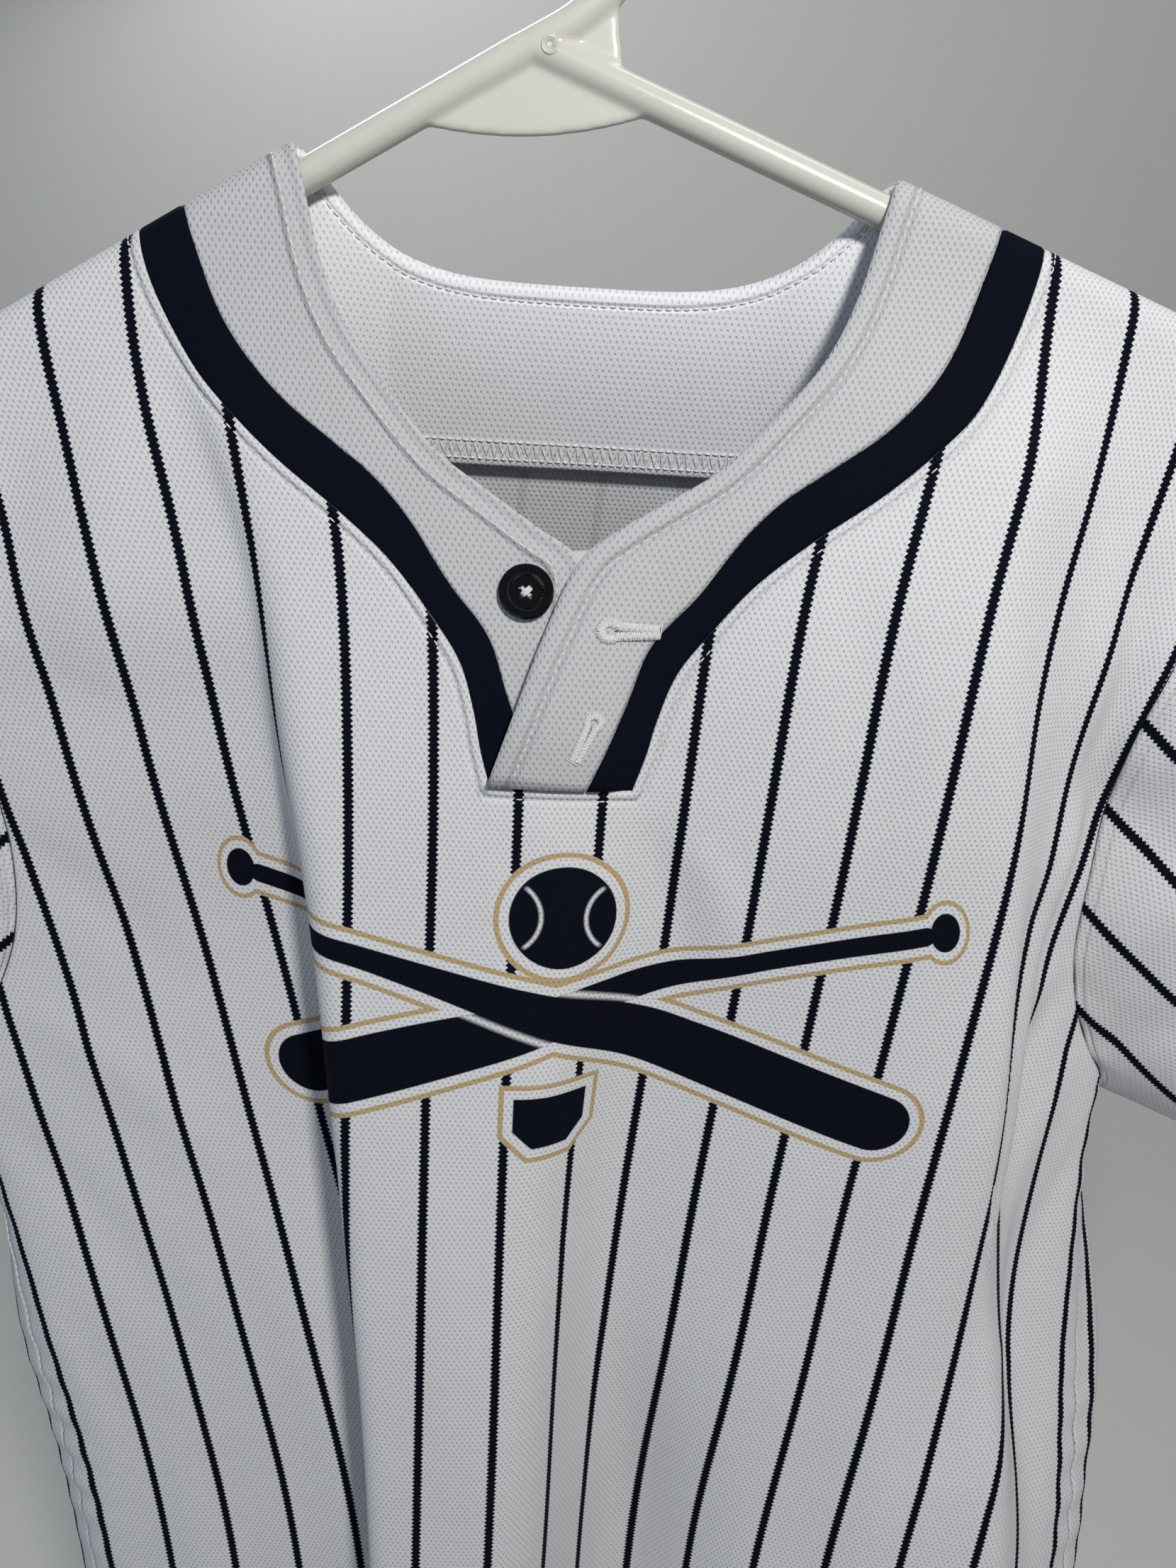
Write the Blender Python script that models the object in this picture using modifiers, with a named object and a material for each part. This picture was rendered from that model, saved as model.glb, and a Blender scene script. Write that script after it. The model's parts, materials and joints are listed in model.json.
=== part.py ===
"""Short-sleeved pinstripe baseball jersey with a two-button neck, hanging on a tubular plastic hanger.

The frame of the model: metres, +Z up, the front faces -Y, and the origin is the inner top of the hanger's
hook, where a rod bears. Left and right are the wearer's, so the wearer's left is at +X.

Cloth is worked out in millimetres. Each point of the cloth has pattern coordinates: s across from the
centre front, t down from the level of the high shoulder points. A level of the body is a curve that starts
at the centre and turns by the headings in a table, so its length stays that of the cut cloth.
"""

import math

import bmesh
import bpy
import numpy as np
from mathutils import Matrix, Vector

MM = 0.001

# The cut of the cloth, millimetres
WALL = 1.2                 # knit with its backing, for every panel
BAND_WALL = 1.4            # the doubled bands at the neck
SEAM_GAP = 0.3
BEND_GAP = 0.25            # each piece's share of the gap where the seam bends: shoulders and sides
CHEST_HALF = 247.0         # half of the laid-flat chest
BODY_LENGTH = 660.0        # high shoulder point to hem
NECK_HALF_BACK = 82.0      # half of the back neck, and of the hung opening
NECK_HALF_FRONT = 69.0
OPEN_HALF = 55.0           # inside this the neck's cloth no longer follows the hanger's arms
SHOULDER_FRONT = 200.0     # centre to the sleeve seam on the shoulder
SHOULDER_BACK = SHOULDER_FRONT + NECK_HALF_BACK - NECK_HALF_FRONT
ARMHOLE_DIP = 12.0         # how far the armhole cuts in between shoulder and armpit
ARMPIT_DEPTH = 290.0
SLEEVE_TOP = 225.0
SLEEVE_UNDER = 115.0
CUFF_DEPTH = 34.0          # half of its short way
LEFT_FALL = math.radians(42.0)     # the sleeves' top lines below level, as hung: the right one lies on
RIGHT_FALL = math.radians(30.0)    # the hanger's end
UNDER_FALL = math.radians(20.0)
SLEEVE_MIDDLE = 6.0        # depth of the cuff's middle
SEWN_OFF = 0.5             # how far the sleeve starts outside the armhole's line at the shoulder,
PIT_OFF = 1.2              # and how much more in the sharp fold at the armpit
PLACKET_FOOT = 168.0       # t where the placket ends in a square
BACK_NECK_DROP = 26.0
BACK_BAND_DROP = 58.0
BACK_INSERT_DROP = 71.0
FACING_DEPTH = 50.0
FACING_HANG = 1.2          # how much further its foot hangs free
FACING_INSET = 2.4         # facing's middle inside the back's middle

# How the jersey hangs, millimetres
HANG_X, HANG_Z = 16.4, -123.0    # the shoulder level's centre: slid along the hanger
HANG_TURN = math.radians(4.5)    # and turned clockwise as seen from the front
TUBE_REACH = 9.2                 # from an arm's centre line up to the shoulder cloth
FRONT_STAND = 6.3                # cloth's middle in front of the hanger's plane at the arms
BACK_STAND = 8.4

# The hanger, millimetres
TUBE = 4.5                 # radius
APEX_Z = -91.4
ARM_SLOPE = math.radians(25.0)
HANGER_TILT = math.radians(1.0)   # its +X side hangs a little high
END_RADIUS = 21.4
BAR_Z = -227.0
HOOK_RADIUS = 23.5         # to the tube's centre
GUSSET_HALF, GUSSET_DROP, GUSSET_SAG = 38.0, 16.0, 5.7
GUSSET_THICK = 3.0

# Buttons, millimetres
BUTTON_RADIUS, BUTTON_THICK = 7.8, 2.4
BUTTON_HOLE, BUTTON_HOLE_REACH = 0.9, 1.7

# The front, level by level: t down from the shoulder, degrees for headings, millimetres for the rest.
# A heading is the way the cloth runs towards +X: positive comes forward, negative goes back.
FRONT_COLUMNS = ("t depth open side_heading tuck tuck_length tuck_heading valley_from valley_down valley_low "
                 "valley_up valley_to chest_heading ridge ridge_heading gully gully_heading").split()
FRONT_LEVELS = [
    # t  depth open side tuck len head  from down low  up   to chest ridge rhd gully ghd
    (0,   -6, 14, 0, -90,  0,   0,   0,   0, 20,  0,  90,  2, 118, -26, 225, -26),
    (50, -10, 12, 2, -95,  6,  40,   0,   0, 20,  4,  90,  4, 118, -30, 225, -26),
    (110, -14, 3, 2, -88, 11,  60,   0,   0, 20,  8,  90,  6, 116, -32, 215, -24),
    (170, -16, 0, 2, -84, 17,  75,   0, -14, 25,  6,  90,  4, 134, -50, 166, -28),
    (230, -14, 0, 2, -78, 23,  95,   0, -34, 28,  8,  90,  4, 148, -66, 178, -28),
    (300, -14, 0, 2, -72, 27, 120,  -2, -49, 32, 12,  90,  4, 166, -84, 194, -22),
    (380, -14, 0, 2, -66, 33, 140,  -6, -53, 40, 20,  90,  5, 178, -80, 206, -12),
    (460, -14, 0, 2, -60, 40, 150,  -8, -53, 54, 32, 105, 11, 200, -54, 225, -20),
    (560, -12, 0, 2, -56, 45, 155, -12, -53, 58, 36, 120, 12, 205, -50, 225, -20),
    (660, -10, 0, 2, -52, 49, 158, -16, -53, 62, 36, 126, 12, 205, -50, 225, -20),
]
# At the side seams the cloth runs straight back by the armpits, and turns out to these further down
LEFT_EDGE_HEADING, RIGHT_EDGE_HEADING = 34.0, -38.0
BACK_FOLDS = 5
BACK_TURN = 16.0           # how soon the back turns round past each side seam

# The neck, station by station from the shoulder down to the placket's foot: the free edge, the seam between
# the white band and the dark insert, and the insert's outer edge. Under is the hidden edge of the underlap.
NECK_COLUMNS = "free_s free_t seam_s seam_t edge_s edge_t under_s".split()
NECK_STATIONS = [
    (68,   2, 98, 15, 110, 22,  68),
    (64,  14, 93, 30, 106, 38,  64),
    (60,  27, 86, 45,  98, 53,  60),
    (53,  44, 73, 62,  88, 66,  53),
    (43,  59, 58, 75,  76, 79,  43),
    (32,  74, 49, 83,  61, 92,  32),
    (20,  84, 41, 94,  48, 105, 20),
    (9,   93, 33, 109, 38, 119,  9),
    (1,  102, 22, 124, 30, 132, -1),
    (-7, 123, 17, 140, 26, 146, -3),
    (-13, 141, 12, 154, 24, 157, -5),
    (-22, 167.7, 7, 167.7, 21.2, 167.7, -8),
]
# How far the upper front band stands off the under one, down the placket
LAP_T = (78, 102, 135, 150, 168)
LAP_RISE = (0, 2.3, 5.2, 5.2, 2.3)
TOP_BUTTON, LOWER_BUTTON = (-11.6, 111.0), (-3.5, 142.0)   # s and t of their middles

GRID_STEP_S, GRID_STEP_T = 1.0, 5.0


# Curves through tables

def through(x, xs, ys):
    """A smooth curve through the table's points: cubic pieces whose slopes come from the neighbours."""
    xs, ys = np.asarray(xs, float), np.asarray(ys, float)
    slope = np.gradient(ys, xs)
    x = np.clip(x, xs[0], xs[-1])
    i = np.clip(np.searchsorted(xs, x, side="right") - 1, 0, len(xs) - 2)
    h = xs[i + 1] - xs[i]
    a = (x - xs[i]) / h
    return ((2 * a**3 - 3 * a**2 + 1) * ys[i] + (a**3 - 2 * a**2 + a) * h * slope[i]
            + (3 * a**2 - 2 * a**3) * ys[i + 1] + (a**3 - a**2) * h * slope[i + 1])


def step(x):
    """0 to 1 as x goes from far below to far above nought, softly."""
    return 0.5 * (1 + np.tanh(x))


def ease(x):
    """0 below 0, 1 above 1, a smooth cubic between."""
    x = np.clip(x, 0, 1)
    return x * x * (3 - 2 * x)


# The hung cloth

def front_level(t):
    table = np.array(FRONT_LEVELS, float)
    return {name: through(t, table[:, 0], table[:, k])[:, None] for k, name in enumerate(FRONT_COLUMNS)}


def run(heading, ds):
    """The curve that a heading in degrees draws: running sums of its cosine and sine."""
    a = np.radians(heading)
    across, deep = np.cos(a), -np.sin(a)
    start = np.zeros((len(a), 1))
    return (np.hstack([start, np.cumsum((across[:, 1:] + across[:, :-1]) / 2 * ds, 1)]),
            np.hstack([start, np.cumsum((deep[:, 1:] + deep[:, :-1]) / 2 * ds, 1)]))


S_GRID = np.arange(-CHEST_HALF, CHEST_HALF + GRID_STEP_S / 2, GRID_STEP_S)
T_GRID = np.arange(0, BODY_LENGTH + GRID_STEP_T / 2, GRID_STEP_T)


def edge_headings():
    """Headings at the left and right side seams for every level."""
    turned = ease((T_GRID[:, None] - ARMPIT_DEPTH - 10) / 120)
    return 86 + (LEFT_EDGE_HEADING - 86) * turned, -86 + (RIGHT_EDGE_HEADING + 86) * turned


def front_sheet():
    """u across and v in depth of the front at every level: the headings change by soft steps at the folds."""
    c = front_level(T_GRID)
    s = S_GRID[None, :]
    left_edge, right_edge = edge_headings()

    def turn(at, before, after, softness):
        return (after - before) * step((s - at) / softness)

    chest = c["chest_heading"]
    heading = c["side_heading"] + turn(c["tuck"] - c["tuck_length"], c["side_heading"], c["tuck_heading"], 5)
    heading = heading + turn(c["tuck"], c["tuck_heading"], 0, 5)
    heading = heading + turn(c["valley_from"], 0, c["valley_down"], 9)
    heading = heading + turn(c["valley_low"], c["valley_down"], c["valley_up"], 10)
    heading = heading + turn(c["valley_to"], c["valley_up"], chest, 16)
    heading = heading + turn(c["ridge"], chest, c["ridge_heading"], 7)
    heading = heading + turn(c["gully"], c["ridge_heading"], c["gully_heading"], 8)
    heading = heading + turn(CHEST_HALF - 8, c["gully_heading"], right_edge, 7)
    heading = heading + turn(8 - CHEST_HALF, left_edge, c["side_heading"], 7)
    heading = heading + left_edge - c["side_heading"]
    u, v = run(heading, GRID_STEP_S)
    centre = int(round(CHEST_HALF / GRID_STEP_S))
    u = u - u[:, centre:centre + 1] + c["open"] * np.tanh(s / 20)
    return u, v - v[:, centre:centre + 1] + c["depth"]


def back_sheet(front_u, front_v):
    """The back closes each level: it turns round past the side seams and gathers in soft folds between them.

    The steepness of its folds and its overall slant are found by trial until its ends meet the front's.
    """
    s = S_GRID[None, :]
    t = T_GRID[:, None]
    way = (s + CHEST_HALF) / (2 * CHEST_HALF)
    phase = BACK_FOLDS * 2 * np.pi * (way + 0.035 * np.sin(2 * np.pi * way + t / 160)) + 0.5 * np.sin(t / 210)
    waves = np.sin(phase) * (1 + 0.25 * np.sin(7 * way + t / 190))
    inner = step((s + CHEST_HALF - BACK_TURN - 10) / 8) * step((CHEST_HALF - BACK_TURN - 10 - s) / 8)
    left_edge, right_edge = edge_headings()
    ends = ((left_edge - 180) * (1 - step((s + CHEST_HALF - BACK_TURN) / 6))
            + (180 + right_edge) * step((s - CHEST_HALF + BACK_TURN) / 6))
    belly = 13 * np.sin(2 * np.pi * way + np.pi)
    want_u = front_u[:, -1] - front_u[:, 0]
    want_v = front_v[:, -1] - front_v[:, 0]
    steep = np.full((len(T_GRID), 1), 40.0)
    slant = np.zeros((len(T_GRID), 1))
    for _ in range(14):
        u, v = run(ends + inner * (waves * steep + slant + belly), GRID_STEP_S)
        steep = np.clip(steep + ((u[:, -1] - want_u) * 0.12)[:, None], 2, 88)
        slant = slant + ((v[:, -1] - want_v) * 0.13)[:, None]
    u, v = run(ends + inner * (waves * steep + slant + belly), GRID_STEP_S)
    rest_u, rest_v = (want_u - u[:, -1])[:, None] * way, (want_v - v[:, -1])[:, None] * way
    return u + rest_u + front_u[:, :1], v + rest_v + front_v[:, :1]


FRONT_U, FRONT_V = front_sheet()
BACK_U, BACK_V = back_sheet(FRONT_U, FRONT_V)


def at(table, s, t):
    """The value at pattern place s, t between the grid's four nearest points."""
    x = np.clip((np.asarray(s, float) + CHEST_HALF) / GRID_STEP_S, 0, len(S_GRID) - 1.001)
    y = np.clip(np.asarray(t, float) / GRID_STEP_T, 0, len(T_GRID) - 1.001)
    i, j = y.astype(int), x.astype(int)
    a, b = y - i, x - j
    return ((1 - a) * ((1 - b) * table[i, j] + b * table[i, j + 1])
            + a * ((1 - b) * table[i + 1, j] + b * table[i + 1, j + 1]))


ARC_EXTRA = (math.pi / 2 - 1) * TUBE_REACH     # cloth taken by the bend over an arm


def arm_t(u):
    """The t of the top of the cloth on a hanger arm if it went straight up, u across from the centre."""
    cos, sin = math.cos(HANG_TURN), math.sin(HANG_TURN)
    over = HANG_Z - APEX_Z - TUBE_REACH
    left = math.tan(ARM_SLOPE - HANGER_TILT)
    right = math.tan(ARM_SLOPE + HANGER_TILT)
    on_left = (over + left * HANG_X + u * (left * cos - sin)) / (cos + left * sin)
    on_right = (over - right * HANG_X - u * (right * cos + sin)) / (cos - right * sin)
    return np.where(u > 0, on_left, on_right)


def shoulder_t(u):
    """The t of the cloth's shoulder edge, which lies on the top of the arm."""
    return arm_t(u) - ARC_EXTRA


def over_arm(t, u, stand):
    """Cloth bends over the arm in a quarter circle, then hangs: its depth there, its level, and how far
    below the arm's top it is."""
    ends = arm_t(np.array([-OPEN_HALF, OPEN_HALF]))
    across_neck = ends[0] + (ends[1] - ends[0]) * (u / OPEN_HALF + 1) / 2
    top = np.where(np.abs(u) < OPEN_HALF, across_neck, arm_t(u))
    d = t - top
    angle = np.clip((d + ARC_EXTRA) / TUBE_REACH, 0, math.pi / 2)
    level = np.where(angle < math.pi / 2, top + TUBE_REACH * (1 - np.cos(angle)), t)
    return stand * np.sin(angle), level, d


def front_uv(s, t):
    """Where the front's middle lies: its level's curve, held off the hanger, and over the arms at the top."""
    u, v = at(FRONT_U, s, t), at(FRONT_V, s, t)
    limit = -FRONT_STAND - 0.2 + 90 * ease((t - 150) / 75)
    v = limit - 2.5 * np.logaddexp(0, (limit - v) / 2.5)
    stand, level, d = over_arm(t, u, FRONT_STAND)
    return u, -stand + (v + FRONT_STAND) * ease((d - 5) / 60), level


def shoulder_back_u(s):
    """u of the back along the shoulder: as wide as its neck, then as the front's shoulder."""
    side = np.sign(s)
    along = side * np.maximum(np.abs(s) - NECK_HALF_BACK + NECK_HALF_FRONT, NECK_HALF_FRONT)
    t = shoulder_t(at(FRONT_U, along, 20 + 0 * along))
    return np.where(np.abs(s) < NECK_HALF_BACK, s, at(FRONT_U, along, t))


def back_uv(s, t):
    """Where the back's middle lies: flat under the shoulders, then easing into its closing curve."""
    top_u = shoulder_back_u(s)
    stand, level, d = over_arm(t, top_u, BACK_STAND)
    share = ease((d - 8) / (ARMPIT_DEPTH - 115))
    u = top_u + (at(BACK_U, s, t) - top_u) * share
    return u, stand + (at(BACK_V, s, t) - BACK_STAND) * share, level


def place(u, v, t):
    """World millimetres of a cloth point: u across, v back, t down, turned as the jersey hangs."""
    cos, sin = math.cos(HANG_TURN), math.sin(HANG_TURN)
    return np.stack([HANG_X + u * cos - t * sin, v + 0 * t, HANG_Z - u * sin - t * cos], -1)


def cloth(uv, s, t, out=0.0):
    """Points of a panel, moved out by so many millimetres along its own normal."""
    s, t = np.broadcast_arrays(np.asarray(s, float), np.asarray(t, float))
    p = place(*uv(s, t))
    if np.ndim(out) == 0 and out == 0:
        return p
    inward = np.where(s < 0, 0.1, -0.1)     # a short way towards the centre, and down, both below the shoulder
    ps = (place(*uv(s + inward, t)) - p) / inward[..., None]
    pt = place(*uv(s, t + 0.1)) - p
    n = np.cross(ps, pt)
    n = n / np.linalg.norm(n, axis=-1, keepdims=True)
    outwards = 1.0 if uv is back_uv else -1.0
    return p + outwards * n * np.asarray(out, float)[..., None]


# Edges of the pieces in the pattern

def station(name, a):
    table = np.array(NECK_STATIONS, float)
    return through(a, np.arange(len(table)), table[:, NECK_COLUMNS.index(name)])


def front_shoulder_t(s):
    """The shoulder edge's t for pattern s on the front, by closing in on it."""
    t = 20 + 0 * s
    for _ in range(4):
        t = shoulder_t(at(FRONT_U, s, t))
    return t


def back_shoulder_t(s):
    return shoulder_t(shoulder_back_u(s))


def moved(curve, distance):
    """A curve in the pattern moved to its left by a distance."""
    way = np.gradient(curve, axis=0)
    way = way / np.linalg.norm(way, axis=1, keepdims=True)
    return curve + distance * np.stack([way[:, 1], -way[:, 0]], -1)


def neck_edge(sign, name, a):
    """An edge of the neck pieces at stations a, on one side, with its top end on the shoulder."""
    t_name = "free_t" if name == "under_s" else name.replace("_s", "_t")
    s, t = sign * station(name, a), station(t_name, a)
    s_top = sign * station(name, np.zeros(1))
    on_shoulder = front_shoulder_t(s_top) + BEND_GAP - station(t_name, np.zeros(1))
    return np.stack([s, t + on_shoulder * (1 - ease(a / 2.5))], -1)


# Places along the neck's pieces, close together where they bend over the hanger's arms
ALONG = np.concatenate([[0, 0.05, 0.16, 0.32, 0.6], np.linspace(1, len(NECK_STATIONS) - 1, 14)])
BACK_HALF = np.array([0, 0.2, 0.4, 0.6, 0.75, 0.87, 0.93, 0.965, 0.988, 1.0])
BACK_ALONG = np.concatenate([-BACK_HALF[:0:-1], BACK_HALF])

# Rows that bend over the hanger's arm, as distances along the cloth from the shoulder edge
OVER_ARM = np.append(TUBE_REACH * np.radians([0, 6, 28, 50, 72, 92]), 24.0)


ARMPIT_SHARE = 0.36
ARM_ROWS = 8
SIDE_CROWDING = 1.5        # columns close up towards the side seams, where the cloth turns sharply


def row_shares(arm_rows, body_rows):
    """Shares of a panel's length for its rows: over the arm, down to the armpit, and on to the hem."""
    return np.concatenate([OVER_ARM / BODY_LENGTH,
                           np.linspace(OVER_ARM[-1] / BODY_LENGTH, ARMPIT_SHARE, arm_rows + 1)[1:],
                           np.linspace(ARMPIT_SHARE, 1, body_rows + 1)[1:]])


def side_t(t_top, b):
    """t of the rows at a panel's side, so that one of them meets the armpit."""
    return np.where(b <= ARMPIT_SHARE, t_top + b / ARMPIT_SHARE * (ARMPIT_DEPTH - t_top),
                    ARMPIT_DEPTH + (b - ARMPIT_SHARE) / (1 - ARMPIT_SHARE) * (BODY_LENGTH - ARMPIT_DEPTH))


def fill(top, bottom, left, right, b):
    """A grid in the pattern from a piece's four edges: straight blends both ways, less the corners' share."""
    b = b[:, None, None]
    c = np.linspace(0, 1, len(top))[None, :, None]
    corners = (1 - b) * ((1 - c) * top[0] + c * top[-1]) + b * ((1 - c) * bottom[0] + c * bottom[-1])
    return (1 - b) * top[None] + b * bottom[None] + (1 - c) * left[:, None] + c * right[:, None] - corners


def armhole_s(t, shoulder, t_top):
    """s of the sleeve seam: from the shoulder it cuts in, then runs out to the armpit."""
    a = np.clip((t - t_top) / (ARMPIT_DEPTH - t_top), 0, 1)
    return shoulder - ARMHOLE_DIP * np.sin(np.pi * a) + (CHEST_HALF - shoulder) * a**6


def side_edge(sign, shoulder, t_top, b):
    """A panel's side at the rows b: the armhole, then the side seam down to the hem."""
    t = side_t(t_top, b)
    s = np.where(t < ARMPIT_DEPTH, armhole_s(t, shoulder, t_top), CHEST_HALF)
    return np.stack([sign * (s - BEND_GAP), t], -1)


def panel(neck, shoulder, shoulder_t_of, body_rows, shoulder_n):
    """A body panel in the pattern. neck holds the hole's edge on the +s side, from the centre outwards,
    and its mirror on the -s side, as a pair of point lists."""
    b = row_shares(ARM_ROWS, body_rows)
    tops, lows, sides = [], [], []
    for sign, edge in zip((-1, 1), neck):
        crowd = 1 - (1 - np.linspace(0, 1, shoulder_n + 1)[1:]) ** SIDE_CROWDING
        out = sign * (abs(edge[-1, 0]) + (shoulder - BEND_GAP - abs(edge[-1, 0])) * crowd)
        top = np.concatenate([edge, np.stack([out, shoulder_t_of(out) + BEND_GAP], -1)])
        low = abs(edge[-1, 0]) + (CHEST_HALF - BEND_GAP - abs(edge[-1, 0])) * crowd
        low_s = np.concatenate([edge[:, 0], sign * low])
        tops.append(top)
        lows.append(np.stack([low_s, 0 * low_s + BODY_LENGTH], -1))
        sides.append(side_edge(sign, shoulder, top[-1, 1], b))
    top = np.concatenate([tops[0][::-1], tops[1][1:]])
    bottom = np.concatenate([lows[0][::-1], lows[1][1:]])
    return fill(top, bottom, sides[0], sides[1], b)


def front_pattern(body_rows=11, shoulder_n=11):
    foot = np.array([[0.0, PLACKET_FOOT + SEAM_GAP / 2], [10.0, PLACKET_FOOT + SEAM_GAP / 2]])
    neck = []
    for sign in (-1, 1):
        edge = moved(neck_edge(sign, "edge_s", ALONG[::-1]), -sign * SEAM_GAP / 2)
        edge[0, 1] = foot[0, 1]
        neck.append(np.concatenate([foot * [sign, 1], edge]))
    return panel(neck, SHOULDER_FRONT, front_shoulder_t, body_rows, shoulder_n)


# The neck's curves across the back: half width at the shoulder, drop at the centre, and how square they are
BACK_CURVES = {"free": (NECK_HALF_BACK, BACK_NECK_DROP, 4.0),
               "seam": (NECK_HALF_BACK + 29, BACK_BAND_DROP, 3.4),
               "edge": (NECK_HALF_BACK + 41, BACK_INSERT_DROP, 3.0)}


def back_curve(name, a):
    """The curve at shares a from -1 to 1 of its half width."""
    half, low, square = BACK_CURVES[name]
    end_t = np.where(a < 0, back_shoulder_t(np.array([-half]))[0], back_shoulder_t(np.array([half]))[0])
    end_t = end_t + BEND_GAP
    return np.stack([half * a, low - (low - end_t) * np.abs(a)**square], -1)


def back_pattern(body_rows=11, shoulder_n=9):
    neck = [moved(back_curve("edge", sign * BACK_HALF), -sign * SEAM_GAP / 2) for sign in (-1, 1)]
    return panel(neck, SHOULDER_BACK, back_shoulder_t, body_rows, shoulder_n)


def between(first, second, across, gap=SEAM_GAP / 2):
    """A strip between two edges at these shares across, drawn in by half a seam gap at each edge."""
    wide = np.linalg.norm(second - first, axis=-1)[:, None]
    c = np.asarray(across)[None, :]
    c = gap / wide + c * (1 - 2 * gap / wide)
    return first[:, None] * (1 - c[..., None]) + second[:, None] * c[..., None]


def lap(s, t, edge_s):
    """How far out the left band lies where it laps over the right one, easing down to the insert's edge."""
    rise = through(t, LAP_T, LAP_RISE) * (t > LAP_T[0])
    return rise * (1 - ease((s - 9) / np.maximum(edge_s - 9, 1)))


def neck_strip(sign, first, second, n):
    """A neck piece of the front as cloth points: the wearer's left one is lapped over the right one."""
    grid = between(neck_edge(sign, first, ALONG), neck_edge(sign, second, ALONG), np.linspace(0, 1, n + 1))
    s, t = grid[..., 0], grid[..., 1]
    out = lap(s, t, station("edge_s", ALONG)[:, None]) if sign > 0 else 0 * s
    return cloth(front_uv, s, t, out)


def back_strip(first, second, n):
    grid = between(back_curve(first, BACK_ALONG), back_curve(second, BACK_ALONG), np.linspace(0, 1, n + 1))
    return cloth(back_uv, grid[..., 0], grid[..., 1])


def back_facing_points():
    """The facing inside the back neck: its free edge along the neck, its foot straight across."""
    top = back_curve("free", BACK_ALONG)
    foot = np.stack([(NECK_HALF_BACK + 2) * BACK_ALONG, 0 * BACK_ALONG + BACK_NECK_DROP + FACING_DEPTH], -1)
    across = np.concatenate([OVER_ARM / FACING_DEPTH, [0.6, 0.74, 0.87, 1]])
    grid = between(top, foot, across)
    inset = FACING_INSET + FACING_HANG * across / across[-1]
    return cloth(back_uv, grid[..., 0], grid[..., 1], -inset)


def armhole_points(uv, sign, shoulder, shoulder_t_of):
    """The sleeve seam's points on one panel, from the armpit up to the shoulder, on that panel's own rows."""
    t_top = float(shoulder_t_of(np.array([sign * shoulder]))[0])
    b = row_shares(ARM_ROWS, 1)[:-1][::-1]
    up = side_t(t_top, b)
    off = SEWN_OFF + PIT_OFF * ((up - t_top) / (ARMPIT_DEPTH - t_top))[:, None] ** 3
    seam = moved(np.stack([sign * armhole_s(up, shoulder, t_top), up], -1), -sign * off)
    return cloth(uv, seam[:, 0], np.maximum(seam[:, 1], t_top))


def sleeve_points(sign, rows=9):
    """A ruled tube from the armhole's ring to the cuff's oval, which hangs outward and down."""
    front = armhole_points(front_uv, sign, SHOULDER_FRONT, front_shoulder_t)
    back = armhole_points(back_uv, sign, SHOULDER_BACK, back_shoulder_t)
    fall = LEFT_FALL if sign > 0 else RIGHT_FALL
    ring = np.concatenate([front, back[-2:0:-1]])
    share = np.concatenate([[0], np.cumsum(np.linalg.norm(np.diff(front, axis=0), axis=1))])
    share = share / share[-1]
    angle = np.pi * np.concatenate([share, 2 - share[-2:0:-1]])
    turn = np.array([sign, 0, 1.0])
    tip, pit = front[-1], front[0]
    top = tip + SLEEVE_TOP * turn * [math.cos(fall), 0, -math.sin(fall)]
    under = pit + SLEEVE_UNDER * turn * [math.cos(UNDER_FALL), 0, -math.sin(UNDER_FALL)]
    middle, reach = (top + under) / 2, (top - under) / 2
    middle[1] = SLEEVE_MIDDLE
    reach[1] = 0
    cuff = middle - reach * np.cos(angle)[:, None] - [0, CUFF_DEPTH, 0] * np.sin(angle)[:, None]
    w = np.linspace(0, 1, rows + 1)[:, None, None]
    return ring[None] * (1 - w) + cuff[None] * w


# Blender objects

def clear_scene():
    for obj in list(bpy.data.objects):
        bpy.data.objects.remove(obj, do_unlink=True)


def collection(name):
    new = bpy.data.collections.new(name)
    bpy.context.scene.collection.children.link(new)
    return new


def material(name, colour, roughness, metallic=0.0):
    new = bpy.data.materials.new(name)
    new.use_nodes = True
    shader = new.node_tree.nodes["Principled BSDF"]
    shader.inputs["Base Color"].default_value = (*colour, 1)
    shader.inputs["Roughness"].default_value = roughness
    shader.inputs["Metallic"].default_value = metallic
    return new


def add(name, mesh, paint, home):
    obj = bpy.data.objects.new(name, mesh)
    obj.data.materials.append(paint)
    home.objects.link(obj)
    return obj


def cloth_piece(name, points, paint, home, wall=WALL, closed=False, flip=False):
    """A grid of cloth points, rows by columns, as an open surface that a Solidify modifier gives its wall."""
    rows, cols = points.shape[:2]
    i, j = np.meshgrid(np.arange(rows - 1), np.arange(cols if closed else cols - 1), indexing="ij")
    k = (j + 1) % cols
    quads = np.stack([i * cols + j, (i + 1) * cols + j, (i + 1) * cols + k, i * cols + k], -1).reshape(-1, 4)
    if flip:
        quads = quads[:, ::-1]
    mesh = bpy.data.meshes.new(name)
    mesh.from_pydata((points.reshape(-1, 3) * MM).tolist(), [], quads.tolist())
    mesh.shade_smooth()
    obj = add(name, mesh, paint, home)
    wall_of = obj.modifiers.new("wall", "SOLIDIFY")
    wall_of.thickness = wall * MM
    wall_of.offset = 0
    return obj


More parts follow.
